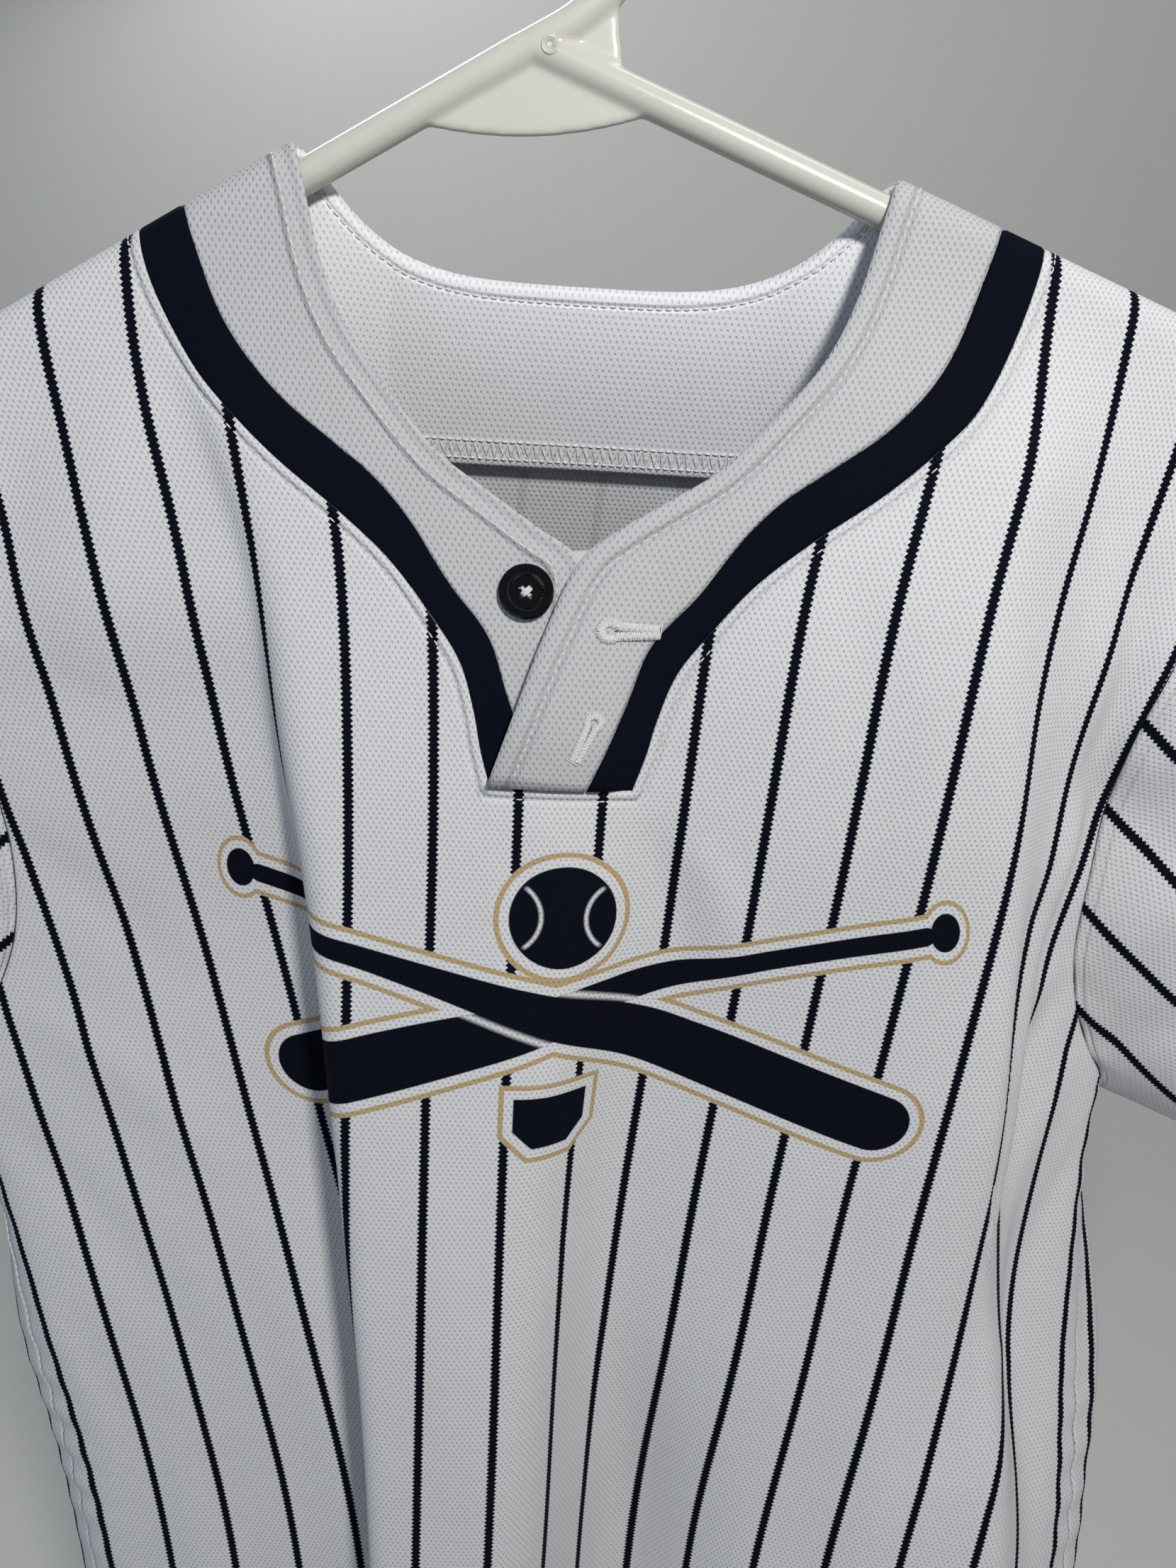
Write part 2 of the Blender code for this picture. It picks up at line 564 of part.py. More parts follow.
def tube(name, points, paint, home, closed=False, resolution=3):
    """A round tube along points in the hanger's plane, x and z in millimetres, as a mesh."""
    curve = bpy.data.curves.new(name, "CURVE")
    curve.dimensions = "3D"
    curve.bevel_depth = TUBE * MM
    curve.bevel_resolution = resolution
    curve.use_fill_caps = not closed
    line = curve.splines.new("POLY")
    line.points.add(len(points) - 1)
    for point, (x, z) in zip(line.points, points):
        point.co = (x * MM, 0, z * MM, 1)
    line.use_cyclic_u = closed
    drawn = add(name + "_line", curve, paint, home)
    return as_mesh(drawn, name, paint, home)


def as_mesh(drawn, name, paint, home):
    """The evaluated object as a welded mesh in its own place."""
    seen = drawn.evaluated_get(bpy.context.evaluated_depsgraph_get())
    mesh = bpy.data.meshes.new_from_object(seen)
    solid = bmesh.new()
    solid.from_mesh(mesh)
    bmesh.ops.remove_doubles(solid, verts=solid.verts, dist=1e-6)
    bmesh.ops.recalc_face_normals(solid, faces=solid.faces)
    solid.to_mesh(mesh)
    solid.free()
    mesh.materials.clear()
    obj = add(name, mesh, paint, home)
    obj.matrix_world = drawn.matrix_world.copy()
    bpy.data.objects.remove(drawn, do_unlink=True)
    return obj


def as_helper(obj):
    obj.hide_render = True
    obj.display_type = "WIRE"
    return obj


def boolean(obj, other, operation):
    cut = obj.modifiers.new(operation.lower(), "BOOLEAN")
    cut.operation = operation
    cut.object = other
    cut.solver = "EXACT"


def arc(centre, radius, start, end, n):
    a = np.radians(np.linspace(start, end, n + 1))
    return [(centre[0] + radius * math.cos(x), centre[1] + radius * math.sin(x)) for x in a]


def tilted(points):
    """Turned about the apex by the hanger's tilt."""
    cos, sin = math.cos(HANGER_TILT), math.sin(HANGER_TILT)
    return [(x * cos - (z - APEX_Z) * sin, APEX_Z + x * sin + (z - APEX_Z) * cos) for x, z in points]


def hanger_loop():
    """Arms, rounded ends and lower bar as one closed line, from the apex round by the +X end."""
    slope = math.degrees(ARM_SLOPE)
    far = (APEX_Z - BAR_Z) / math.tan(ARM_SLOPE)
    centre_x = far - END_RADIUS / math.tan(ARM_SLOPE / 2)
    centre_z = BAR_Z + END_RADIUS
    right = arc((centre_x, centre_z), END_RADIUS, 90 - slope, -90, 9)
    left = [(-x, z) for x, z in right[::-1]]
    tip = [(-3, APEX_Z - 3 * math.tan(ARM_SLOPE)), (0, APEX_Z - 0.5), (3, APEX_Z - 3 * math.tan(ARM_SLOPE))]
    return tilted(right + left + tip)


def hook_line():
    """From inside the apex, on in line with the -X arm, then up and over the rod."""
    stem = [(-14, -98.4), (0, -91.6), (12, -85.6), (22, -77.5), (27.5, -66), (28.5, -52), (26, -36)]
    ks = np.arange(len(stem))
    fine = np.linspace(0, len(stem) - 1, 2 * len(stem) - 1)
    stem = list(zip(through(fine, ks, [p[0] for p in stem]), through(fine, ks, [p[1] for p in stem])))
    return stem + arc((0, TUBE - HOOK_RADIUS), HOOK_RADIUS, -4, 205, 14)


def build_hanger(paint, home, helpers):
    frame = tube("hanger", hanger_loop(), paint, home, closed=True)
    hook = as_helper(tube("hook_tube", hook_line(), paint, helpers))
    boolean(frame, hook, "UNION")
    slope = math.tan(ARM_SLOPE)
    outline = [(0, APEX_Z - 1), (-GUSSET_HALF, APEX_Z - GUSSET_HALF * slope + 1.5)]
    for share in np.linspace(-1, 1, 9)[1:-1]:
        outline.append((share * (GUSSET_HALF - 1), APEX_Z - GUSSET_DROP - GUSSET_SAG * (1 - share**2)))
    outline.append((GUSSET_HALF, APEX_Z - GUSSET_HALF * slope + 1.5))
    gusset = as_helper(plate("gusset_plate", tilted(outline), GUSSET_THICK, paint, helpers))
    boolean(frame, gusset, "UNION")
    web = [(2, APEX_Z), (24, APEX_Z - 24 * slope), (24.5, -81), (22, -76)]
    boolean(frame, as_helper(plate("hook_web", web, GUSSET_THICK, paint, helpers)), "UNION")
    return frame


def plate(name, outline, thick, paint, home):
    """A flat plate in the hanger's plane: a filled 2D curve with half its thickness to each side."""
    curve = bpy.data.curves.new(name, "CURVE")
    curve.dimensions = "2D"
    curve.fill_mode = "BOTH"
    curve.extrude = thick * MM / 2
    line = curve.splines.new("POLY")
    line.points.add(len(outline) - 1)
    for point, (x, z) in zip(line.points, outline):
        point.co = (x * MM, z * MM, 0, 1)
    line.use_cyclic_u = True
    drawn = add(name + "_outline", curve, paint, home)
    drawn.rotation_euler.x = math.pi / 2
    bpy.context.view_layer.update()
    return as_mesh(drawn, name, paint, home)


def button(name, s, t, out, paint, home, helpers):
    """A turned disc with a raised rim and a dished middle, with four thread holes, lying on the band."""
    r, h = BUTTON_RADIUS, BUTTON_THICK
    profile = [(0, 0.62 * h), (0.58 * r, 0.62 * h), (0.70 * r, h), (0.90 * r, h), (r, 0.72 * h), (r, 0.3 * h),
               (0.86 * r, 0), (0, 0)]
    mesh = bpy.data.meshes.new(name)
    mesh.from_pydata([(x * MM, 0, z * MM) for x, z in profile], [(k, k + 1) for k in range(len(profile) - 1)], [])
    obj = add(name, mesh, paint, home)
    turned = obj.modifiers.new("turned", "SCREW")
    turned.axis = "Z"
    turned.steps = turned.render_steps = 28
    turned.use_merge_vertices = True
    turned.merge_threshold = 1e-5
    turned.use_normal_calculate = True
    at_s, at_t = np.array([s]), np.array([t])
    seat = cloth(front_uv, at_s, at_t, out)[0] * MM
    outward = Vector(cloth(front_uv, at_s, at_t, out + 1.0)[0] * MM - seat).normalized()
    obj.location = seat
    obj.rotation_mode = "QUATERNION"
    obj.rotation_quaternion = outward.to_track_quat("Z", "Y")
    bpy.context.view_layer.update()
    for k in range(4):
        hole = bmesh.new()
        bmesh.ops.create_cone(hole, cap_ends=True, segments=10, radius1=BUTTON_HOLE * MM,
                              radius2=BUTTON_HOLE * MM, depth=3 * h * MM)
        shape = bpy.data.meshes.new(f"{name}_hole_{k}")
        hole.to_mesh(shape)
        hole.free()
        cutter = as_helper(add(shape.name, shape, paint, helpers))
        a = math.pi / 4 + k * math.pi / 2
        spot = Vector((BUTTON_HOLE_REACH * math.cos(a), BUTTON_HOLE_REACH * math.sin(a), h / 2)) * MM
        cutter.matrix_world = obj.matrix_world @ Matrix.Translation(spot)
        boolean(obj, cutter, "DIFFERENCE")
    return obj


def main():
    clear_scene()
    jersey = collection("baseball_jersey_on_hanger")
    helpers = collection("cutters")
    knit = material("pinstripe knit", (0.80, 0.81, 0.84), 0.85)
    band = material("neck band mesh", (0.86, 0.86, 0.86), 0.8)
    insert = material("dark insert", (0.012, 0.014, 0.025), 0.75)
    plastic = material("hanger plastic", (0.86, 0.85, 0.80), 0.35)
    gloss = material("button gloss", (0.012, 0.012, 0.016), 0.25)

    front = front_pattern()
    cloth_piece("front_panel", cloth(front_uv, front[..., 0], front[..., 1]), knit, jersey)
    back = back_pattern()
    cloth_piece("back_panel", cloth(back_uv, back[..., 0], back[..., 1]), knit, jersey, flip=True)
    cloth_piece("sleeve_left", sleeve_points(1), knit, jersey, closed=True)
    cloth_piece("sleeve_right", sleeve_points(-1), knit, jersey, closed=True, flip=True)
    for side, sign, free in (("left", 1, "free_s"), ("right", -1, "under_s")):
        points = neck_strip(sign, free, "seam_s", 4)
        cloth_piece(f"neck_band_{side}", points, band, jersey, BAND_WALL, flip=sign < 0)
        points = neck_strip(sign, "seam_s", "edge_s", 2)
        cloth_piece(f"neck_insert_{side}", points, insert, jersey, BAND_WALL, flip=sign < 0)
    cloth_piece("neck_band_back", back_strip("free", "seam", 3), band, jersey, BAND_WALL)
    cloth_piece("neck_insert_back", back_strip("seam", "edge", 1), insert, jersey, BAND_WALL)
    cloth_piece("back_facing", back_facing_points(), band, jersey)
    seat = BAND_WALL / 2 + SEAM_GAP
    button("button_top", *TOP_BUTTON, seat, gloss, jersey, helpers)
    button("button_lower", *LOWER_BUTTON, seat, gloss, jersey, helpers)
    build_hanger(plastic, jersey, helpers)


main()
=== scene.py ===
"""Looks of a pinstripe baseball jersey on a tubular hanger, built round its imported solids.

Lengths are worked out in millimetres in the model's frame, as in the part's source, and turned to metres
when a mesh is made. Cloth has pattern coordinates: s across from the centre front, t down.
"""

import json
import math
from functools import partialmethod

import bpy
import numpy as np
from mathutils import Matrix, Vector

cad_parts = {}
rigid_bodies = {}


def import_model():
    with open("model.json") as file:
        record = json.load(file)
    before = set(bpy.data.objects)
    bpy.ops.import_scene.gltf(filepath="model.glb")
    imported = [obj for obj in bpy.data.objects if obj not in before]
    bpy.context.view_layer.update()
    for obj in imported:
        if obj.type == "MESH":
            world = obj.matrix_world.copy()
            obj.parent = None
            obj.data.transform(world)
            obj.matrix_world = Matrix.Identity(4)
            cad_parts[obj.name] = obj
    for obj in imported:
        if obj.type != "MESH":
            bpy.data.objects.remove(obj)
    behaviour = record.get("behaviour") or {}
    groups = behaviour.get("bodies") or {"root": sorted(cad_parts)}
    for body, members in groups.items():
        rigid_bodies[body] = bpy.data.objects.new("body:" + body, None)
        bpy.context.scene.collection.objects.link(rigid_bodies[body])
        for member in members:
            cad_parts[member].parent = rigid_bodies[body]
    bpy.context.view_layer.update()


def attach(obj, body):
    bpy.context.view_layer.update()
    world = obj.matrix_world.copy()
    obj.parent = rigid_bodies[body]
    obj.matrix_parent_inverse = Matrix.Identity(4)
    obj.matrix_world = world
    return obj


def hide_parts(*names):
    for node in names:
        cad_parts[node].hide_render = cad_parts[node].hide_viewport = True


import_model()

MM = 0.001

# The cut of the cloth, millimetres
BEND_GAP = 0.25            # how far the neck's pieces stay below the shoulder seam
CHEST_HALF = 247.0         # half of the laid-flat chest
BODY_LENGTH = 660.0        # high shoulder point to hem
NECK_HALF_BACK = 82.0      # half of the back neck, and of the hung opening
NECK_HALF_FRONT = 69.0
OPEN_HALF = 55.0           # inside this the neck's cloth no longer follows the hanger's arms
SHOULDER_FRONT = 200.0     # centre to the sleeve seam on the shoulder
SHOULDER_BACK = SHOULDER_FRONT + NECK_HALF_BACK - NECK_HALF_FRONT
ARMHOLE_DIP = 12.0         # how far the armhole cuts in between shoulder and armpit
ARMPIT_DEPTH = 290.0
SLEEVE_TOP = 225.0
SLEEVE_UNDER = 115.0
CUFF_DEPTH = 34.0          # half of its short way
LEFT_FALL = math.radians(42.0)     # the sleeves' top lines below level, as hung: the right one lies on
RIGHT_FALL = math.radians(30.0)    # the hanger's end
UNDER_FALL = math.radians(20.0)
SLEEVE_MIDDLE = 6.0        # depth of the cuff's middle
PLACKET_FOOT = 168.0       # t where the placket ends in a square
BACK_NECK_DROP = 26.0
BACK_BAND_DROP = 58.0
BACK_INSERT_DROP = 71.0
FACING_FOOT = BACK_NECK_DROP + 50.0
FACING_HANG = 1.2          # how much further its foot hangs free
FACING_INSET = 2.4         # facing's middle inside the back's middle

# How the jersey hangs, millimetres
HANG_X, HANG_Z = 16.4, -123.0    # the shoulder level's centre: slid along the hanger
HANG_TURN = math.radians(4.5)    # and turned clockwise as seen from the front
TUBE_REACH = 9.2                 # from an arm's centre line up to the shoulder cloth
FRONT_STAND = 6.3                # cloth's middle in front of the hanger's plane at the arms
BACK_STAND = 8.4

# The hanger, millimetres
TUBE, TUBE_SIDES = 4.5, 28     # radius, and the sides it is drawn with
APEX_Z = -91.4
ARM_SLOPE = math.radians(25.0)
HANGER_TILT = math.radians(1.0)   # its +X side hangs a little high
END_RADIUS = 21.4
BAR_Z = -227.0
HOOK_RADIUS = 23.5         # to the tube's centre
GUSSET_HALF, GUSSET_DROP, GUSSET_SAG = 38.0, 16.0, 5.7
GUSSET_THICK = 3.0

# Buttons, millimetres
TOP_BUTTON = (-11.6, 111.0)      # s and t of the open button's middle
BUTTON_SEAT = 0.95 + 2.4 * 0.62  # its thread's height over the cloth's middle, in the dish of its 2.4 mm
BUTTON_HOLE_REACH = 1.7

# The front, level by level: t down from the shoulder, degrees for headings, millimetres for the rest.
# A heading is the way the cloth runs towards +X: positive comes forward, negative goes back.
FRONT_COLUMNS = ("t depth open side_heading tuck tuck_length tuck_heading valley_from valley_down valley_low "
                 "valley_up valley_to chest_heading ridge ridge_heading gully gully_heading").split()
FRONT_LEVELS = [
    # t  depth open side tuck len head  from down low  up   to chest ridge rhd gully ghd
    (0,   -6, 14, 0, -90,  0,   0,   0,   0, 20,  0,  90,  2, 118, -26, 225, -26),
    (50, -10, 12, 2, -95,  6,  40,   0,   0, 20,  4,  90,  4, 118, -30, 225, -26),
    (110, -14, 3, 2, -85, 11,  60,   0,   0, 20,  8,  90,  6, 116, -32, 215, -24),
    (170, -16, 0, 2, -79, 17,  75,   0, -14, 25,  6,  90,  4, 134, -50, 166, -28),
    (230, -14, 0, 2, -72, 23,  95,   0, -34, 28,  8,  90,  4, 148, -66, 178, -28),
    (300, -14, 0, 2, -66, 27, 120,  -2, -49, 32, 12,  90,  4, 166, -84, 194, -22),
    (380, -14, 0, 2, -60, 33, 140,  -6, -53, 40, 20,  90,  5, 178, -80, 206, -12),
    (460, -14, 0, 2, -55, 40, 150,  -8, -53, 54, 32, 105, 11, 200, -54, 225, -20),
    (560, -12, 0, 2, -56, 45, 155, -12, -53, 58, 36, 120, 12, 205, -50, 225, -20),
    (660, -10, 0, 2, -52, 49, 158, -16, -53, 62, 36, 126, 12, 205, -50, 225, -20),
]
# At the side seams the cloth runs almost straight back by the armpits, and turns out to the others further down
PIT_HEADING = 86.0
LEFT_EDGE_HEADING, RIGHT_EDGE_HEADING = 34.0, -38.0
BACK_FOLDS, BACK_BELLY = 5, 13.0     # soft folds across the back, and degrees of its slow swell
BACK_TRIES = 14            # rounds in which the back's ends are brought to the front's
BACK_TURN = 16.0           # how soon the back turns round past each side seam

# The neck, station by station from the shoulder down to the placket's foot: the free edge, the seam between
# the white band and the dark insert, and the insert's outer edge. Under is the hidden edge of the underlap.
NECK_COLUMNS = "free_s free_t seam_s seam_t edge_s edge_t under_s".split()
NECK_STATIONS = [
    (68,   2, 98, 15, 110, 22,  68),
    (64,  14, 93, 30, 106, 38,  64),
    (60,  27, 86, 45,  98, 53,  60),
    (53,  44, 73, 62,  88, 66,  53),
    (43,  59, 58, 75,  76, 79,  43),
    (32,  74, 49, 83,  61, 92,  32),
    (20,  84, 41, 94,  48, 105, 20),
    (9,   93, 33, 109, 38, 119,  9),
    (1,  102, 22, 124, 30, 132, -1),
    (-7, 123, 17, 140, 26, 146, -3),
    (-13, 141, 12, 154, 24, 157, -5),
    (-22, 167.7, 7, 167.7, 21.2, 167.7, -8),
]
# How far the upper front band stands off the under one, down the placket
LAP_T = (78, 102, 135, 150, 168)
LAP_RISE = (0, 2.3, 5.2, 5.2, 2.3)

GRID_STEP_S, GRID_STEP_T = 1.0, 5.0


# Curves through tables

def through(x, xs, ys):
    """A smooth curve through the table's points: cubic pieces whose slopes come from the neighbours."""
    xs, ys = np.asarray(xs, float), np.asarray(ys, float)
    slope = np.gradient(ys, xs)
    x = np.clip(x, xs[0], xs[-1])
    i = np.clip(np.searchsorted(xs, x, side="right") - 1, 0, len(xs) - 2)
    h = xs[i + 1] - xs[i]
    a = (x - xs[i]) / h
    return ((2 * a**3 - 3 * a**2 + 1) * ys[i] + (a**3 - 2 * a**2 + a) * h * slope[i]
            + (3 * a**2 - 2 * a**3) * ys[i + 1] + (a**3 - a**2) * h * slope[i + 1])


def step(x):
    """0 to 1 as x goes from far below to far above nought, softly."""
    return 0.5 * (1 + np.tanh(x))


def ease(x):
    """0 below 0, 1 above 1, a smooth cubic between."""
    x = np.clip(x, 0, 1)
    return x * x * (3 - 2 * x)


def unit(v):
    """Vectors made one long."""
    return v / np.maximum(np.linalg.norm(v, axis=-1, keepdims=True), 1e-12)


def travelled(curve):
    """The way gone along a polyline at each of its points."""
    return np.concatenate([[0], np.cumsum(np.linalg.norm(np.diff(curve, axis=0), axis=1))])


def square_to(way):
    """Directions in the pattern at a right angle to these."""
    return np.stack([-way[..., 1], way[..., 0]], -1)


# The hung cloth

def front_level(t):
    """Each column of the front's table at the levels t, by smooth curves, as columns of numbers."""
    table = np.array(FRONT_LEVELS, float)
    return {name: through(t, table[:, 0], table[:, k])[:, None] for k, name in enumerate(FRONT_COLUMNS)}


def run(heading, ds):
    """The curve that a heading in degrees draws: running sums of its cosine and sine."""
    a = np.radians(heading)
    across, deep = np.cos(a), -np.sin(a)
    start = np.zeros((len(a), 1))
    return (np.hstack([start, np.cumsum((across[:, 1:] + across[:, :-1]) / 2 * ds, 1)]),
            np.hstack([start, np.cumsum((deep[:, 1:] + deep[:, :-1]) / 2 * ds, 1)]))


S_GRID = np.arange(-CHEST_HALF, CHEST_HALF + GRID_STEP_S / 2, GRID_STEP_S)
T_GRID = np.arange(0, BODY_LENGTH + GRID_STEP_T / 2, GRID_STEP_T)


def edge_headings():
    """Headings at the left and right side seams for every level."""
    turned = ease((T_GRID[:, None] - ARMPIT_DEPTH - 10) / 120)
    return (PIT_HEADING + (LEFT_EDGE_HEADING - PIT_HEADING) * turned,
            -PIT_HEADING + (RIGHT_EDGE_HEADING + PIT_HEADING) * turned)


def front_sheet():
    """u across and v in depth of the front at every level: the headings change by soft steps at the folds."""
    c = front_level(T_GRID)
    s = S_GRID[None, :]
    left_edge, right_edge = edge_headings()
    side, chest = c["side_heading"], c["chest_heading"]
    # Where the heading turns, what it is before and after, and how many millimetres the turn takes
    turns = ((c["tuck"] - c["tuck_length"], side, c["tuck_heading"], 5), (c["tuck"], c["tuck_heading"], 0, 5),
             (c["valley_from"], 0, c["valley_down"], 9),
             (c["valley_low"], c["valley_down"], c["valley_up"], 10),
             (c["valley_to"], c["valley_up"], chest, 16), (c["ridge"], chest, c["ridge_heading"], 7),
             (c["gully"], c["ridge_heading"], c["gully_heading"], 8),
             (CHEST_HALF - 8, c["gully_heading"], right_edge, 7), (8 - CHEST_HALF, left_edge, side, 7))
    heading = side
    for where, before, after, softness in turns:
        heading = heading + (after - before) * step((s - where) / softness)
    u, v = run(heading + left_edge - side, GRID_STEP_S)
    centre = int(round(CHEST_HALF / GRID_STEP_S))
    u = u - u[:, centre:centre + 1] + c["open"] * np.tanh(s / 20)
    return u, v - v[:, centre:centre + 1] + c["depth"]


def back_sheet(front_u, front_v):
    """The back closes each level: it turns round past the side seams and gathers in soft folds between them.

    The steepness of its folds and its overall slant are found by trial until its ends meet the front's.
    """
    s = S_GRID[None, :]
    t = T_GRID[:, None]
    way = (s + CHEST_HALF) / (2 * CHEST_HALF)
    phase = BACK_FOLDS * 2 * np.pi * (way + 0.035 * np.sin(2 * np.pi * way + t / 160)) + 0.5 * np.sin(t / 210)
    waves = np.sin(phase) * (1 + 0.25 * np.sin(7 * way + t / 190))
    inner = step((s + CHEST_HALF - BACK_TURN - 10) / 8) * step((CHEST_HALF - BACK_TURN - 10 - s) / 8)
    left_edge, right_edge = edge_headings()
    ends = ((left_edge - 180) * (1 - step((s + CHEST_HALF - BACK_TURN) / 6))
            + (180 + right_edge) * step((s - CHEST_HALF + BACK_TURN) / 6))
    belly = BACK_BELLY * np.sin(2 * np.pi * way + np.pi)
    want_u = front_u[:, -1] - front_u[:, 0]
    want_v = front_v[:, -1] - front_v[:, 0]
    steep = np.full((len(T_GRID), 1), 40.0)
    slant = np.zeros((len(T_GRID), 1))
    for _ in range(BACK_TRIES):
        u, v = run(ends + inner * (waves * steep + slant + belly), GRID_STEP_S)
        steep = np.clip(steep + ((u[:, -1] - want_u) * 0.12)[:, None], 2, 88)
        slant = slant + ((v[:, -1] - want_v) * 0.13)[:, None]
    u, v = run(ends + inner * (waves * steep + slant + belly), GRID_STEP_S)
    rest_u, rest_v = (want_u - u[:, -1])[:, None] * way, (want_v - v[:, -1])[:, None] * way
    return u + rest_u + front_u[:, :1], v + rest_v + front_v[:, :1]


FRONT_U, FRONT_V = front_sheet()
BACK_U, BACK_V = back_sheet(FRONT_U, FRONT_V)


def at(table, s, t):
    """The value at pattern place s, t between the grid's four nearest points."""
    x = np.clip((np.asarray(s, float) + CHEST_HALF) / GRID_STEP_S, 0, len(S_GRID) - 1.001)
    y = np.clip(np.asarray(t, float) / GRID_STEP_T, 0, len(T_GRID) - 1.001)
    i, j = y.astype(int), x.astype(int)
    a, b = y - i, x - j
    return ((1 - a) * ((1 - b) * table[i, j] + b * table[i, j + 1])
            + a * ((1 - b) * table[i + 1, j] + b * table[i + 1, j + 1]))


ARC_EXTRA = (math.pi / 2 - 1) * TUBE_REACH     # cloth taken by the bend over an arm


def arm_t(u):
    """The t of the top of the cloth on a hanger arm if it went straight up, u across from the centre."""
    cos, sin = math.cos(HANG_TURN), math.sin(HANG_TURN)
    over = HANG_Z - APEX_Z - TUBE_REACH
    left = math.tan(ARM_SLOPE - HANGER_TILT)
    right = math.tan(ARM_SLOPE + HANGER_TILT)
    on_left = (over + left * HANG_X + u * (left * cos - sin)) / (cos + left * sin)
    on_right = (over - right * HANG_X - u * (right * cos + sin)) / (cos - right * sin)
    return np.where(u > 0, on_left, on_right)


def shoulder_t(u):
    """The t of the cloth's shoulder edge, which lies on the top of the arm."""
    return arm_t(u) - ARC_EXTRA


def over_arm(t, u, stand):
    """Cloth bends over the arm in a quarter circle, then hangs: its depth there, its level, and how far
    below the arm's top it is."""
    ends = arm_t(np.array([-OPEN_HALF, OPEN_HALF]))
    across_neck = ends[0] + (ends[1] - ends[0]) * (u / OPEN_HALF + 1) / 2
    top = np.where(np.abs(u) < OPEN_HALF, across_neck, arm_t(u))
    d = t - top
    angle = np.clip((d + ARC_EXTRA) / TUBE_REACH, 0, math.pi / 2)
    level = np.where(angle < math.pi / 2, top + TUBE_REACH * (1 - np.cos(angle)), t)
    return stand * np.sin(angle), level, d


def front_uv(s, t):
    """Where the front's middle lies: its level's curve, held off the hanger, and over the arms at the top."""
    u, v = at(FRONT_U, s, t), at(FRONT_V, s, t)
    limit = -FRONT_STAND - 0.2 + 90 * ease((t - 112) / 190)
    v = limit - 2.5 * np.logaddexp(0, (limit - v) / 2.5)
    stand, level, d = over_arm(t, u, FRONT_STAND)
    return u, -stand + (v + FRONT_STAND) * ease((d - 5) / 60), level


def shoulder_back_u(s):
    """u of the back along the shoulder: as wide as its neck, then as the front's shoulder."""
    side = np.sign(s)
    along = side * np.maximum(np.abs(s) - NECK_HALF_BACK + NECK_HALF_FRONT, NECK_HALF_FRONT)
    t = shoulder_t(at(FRONT_U, along, 20 + 0 * along))
    return np.where(np.abs(s) < NECK_HALF_BACK, s, at(FRONT_U, along, t))


def back_uv(s, t):
    """Where the back's middle lies: flat under the shoulders, then easing into its closing curve."""
    top_u = shoulder_back_u(s)
    stand, level, d = over_arm(t, top_u, BACK_STAND)
    share = ease((d - 8) / (ARMPIT_DEPTH - 115))
    u = top_u + (at(BACK_U, s, t) - top_u) * share
    return u, stand + (at(BACK_V, s, t) - BACK_STAND) * share, level


def place(u, v, t):
    """World millimetres of a cloth point: u across, v back, t down, turned as the jersey hangs."""
    cos, sin = math.cos(HANG_TURN), math.sin(HANG_TURN)
    return np.stack([HANG_X + u * cos - t * sin, v + 0 * t, HANG_Z - u * sin - t * cos], -1)


def cloth(uv, s, t, out):
    """Points of a panel, moved out by so many millimetres along its own normal."""
    s, t = np.broadcast_arrays(np.clip(s, -CHEST_HALF, CHEST_HALF), np.asarray(t, float))
    p = place(*uv(s, t))
    inward = np.where(s < 0, 0.1, -0.1)     # a short way towards the centre, and down, both below the shoulder
    ps = (place(*uv(s + inward, t)) - p) / inward[..., None]
    pt = place(*uv(s, t + 0.1)) - p
    outwards = 1.0 if uv is back_uv else -1.0
    return p + outwards * unit(np.cross(ps, pt)) * out[..., None]


# Edges of the pieces in the pattern

def station(name, a):
    """A column of the neck's table at the stations a, which may lie between its rows."""
    table = np.array(NECK_STATIONS, float)
    return through(a, np.arange(len(table)), table[:, NECK_COLUMNS.index(name)])


def front_shoulder_t(s):
    """The shoulder edge's t for pattern s on the front, by closing in on it."""
    t = 20 + 0 * s
    for _ in range(4):
        t = shoulder_t(at(FRONT_U, s, t))
    return t


def back_shoulder_t(s):
    """The shoulder edge's t for pattern s on the back."""
    return shoulder_t(shoulder_back_u(s))


def moved(curve, distance):
    """A curve in the pattern moved to its left by a distance."""
    return curve - distance * square_to(unit(np.gradient(curve, axis=0)))


def neck_edge(sign, name, a):
    """An edge of the neck pieces at stations a, on one side, with its top end on the shoulder."""
    t_name = "free_t" if name == "under_s" else name.replace("_s", "_t")
    s, t = sign * station(name, a), station(t_name, a)
    s_top = sign * station(name, np.zeros(1))
    on_shoulder = front_shoulder_t(s_top) + BEND_GAP - station(t_name, np.zeros(1))
    return np.stack([s, t + on_shoulder * (1 - ease(a / 2.5))], -1)


ARMPIT_SHARE = 0.36        # of a panel's length, for the row that meets the armpit


def side_t(t_top, b):
    """t of the rows at a panel's side, so that one of them meets the armpit."""
    return np.where(b <= ARMPIT_SHARE, t_top + b / ARMPIT_SHARE * (ARMPIT_DEPTH - t_top),
                    ARMPIT_DEPTH + (b - ARMPIT_SHARE) / (1 - ARMPIT_SHARE) * (BODY_LENGTH - ARMPIT_DEPTH))


def fill(top, bottom, left, right, b):
    """A grid in the pattern from a piece's four edges: straight blends both ways, less the corners' share.
    Shares across go by the bottom edge, so that crowded columns stay in order."""
    b = b[:, None, None]
    c = ((bottom[:, 0] - bottom[0, 0]) / (bottom[-1, 0] - bottom[0, 0]))[None, :, None]
    corners = (1 - b) * ((1 - c) * top[0] + c * top[-1]) + b * ((1 - c) * bottom[0] + c * bottom[-1])
    return (1 - b) * top[None] + b * bottom[None] + (1 - c) * left[:, None] + c * right[:, None] - corners


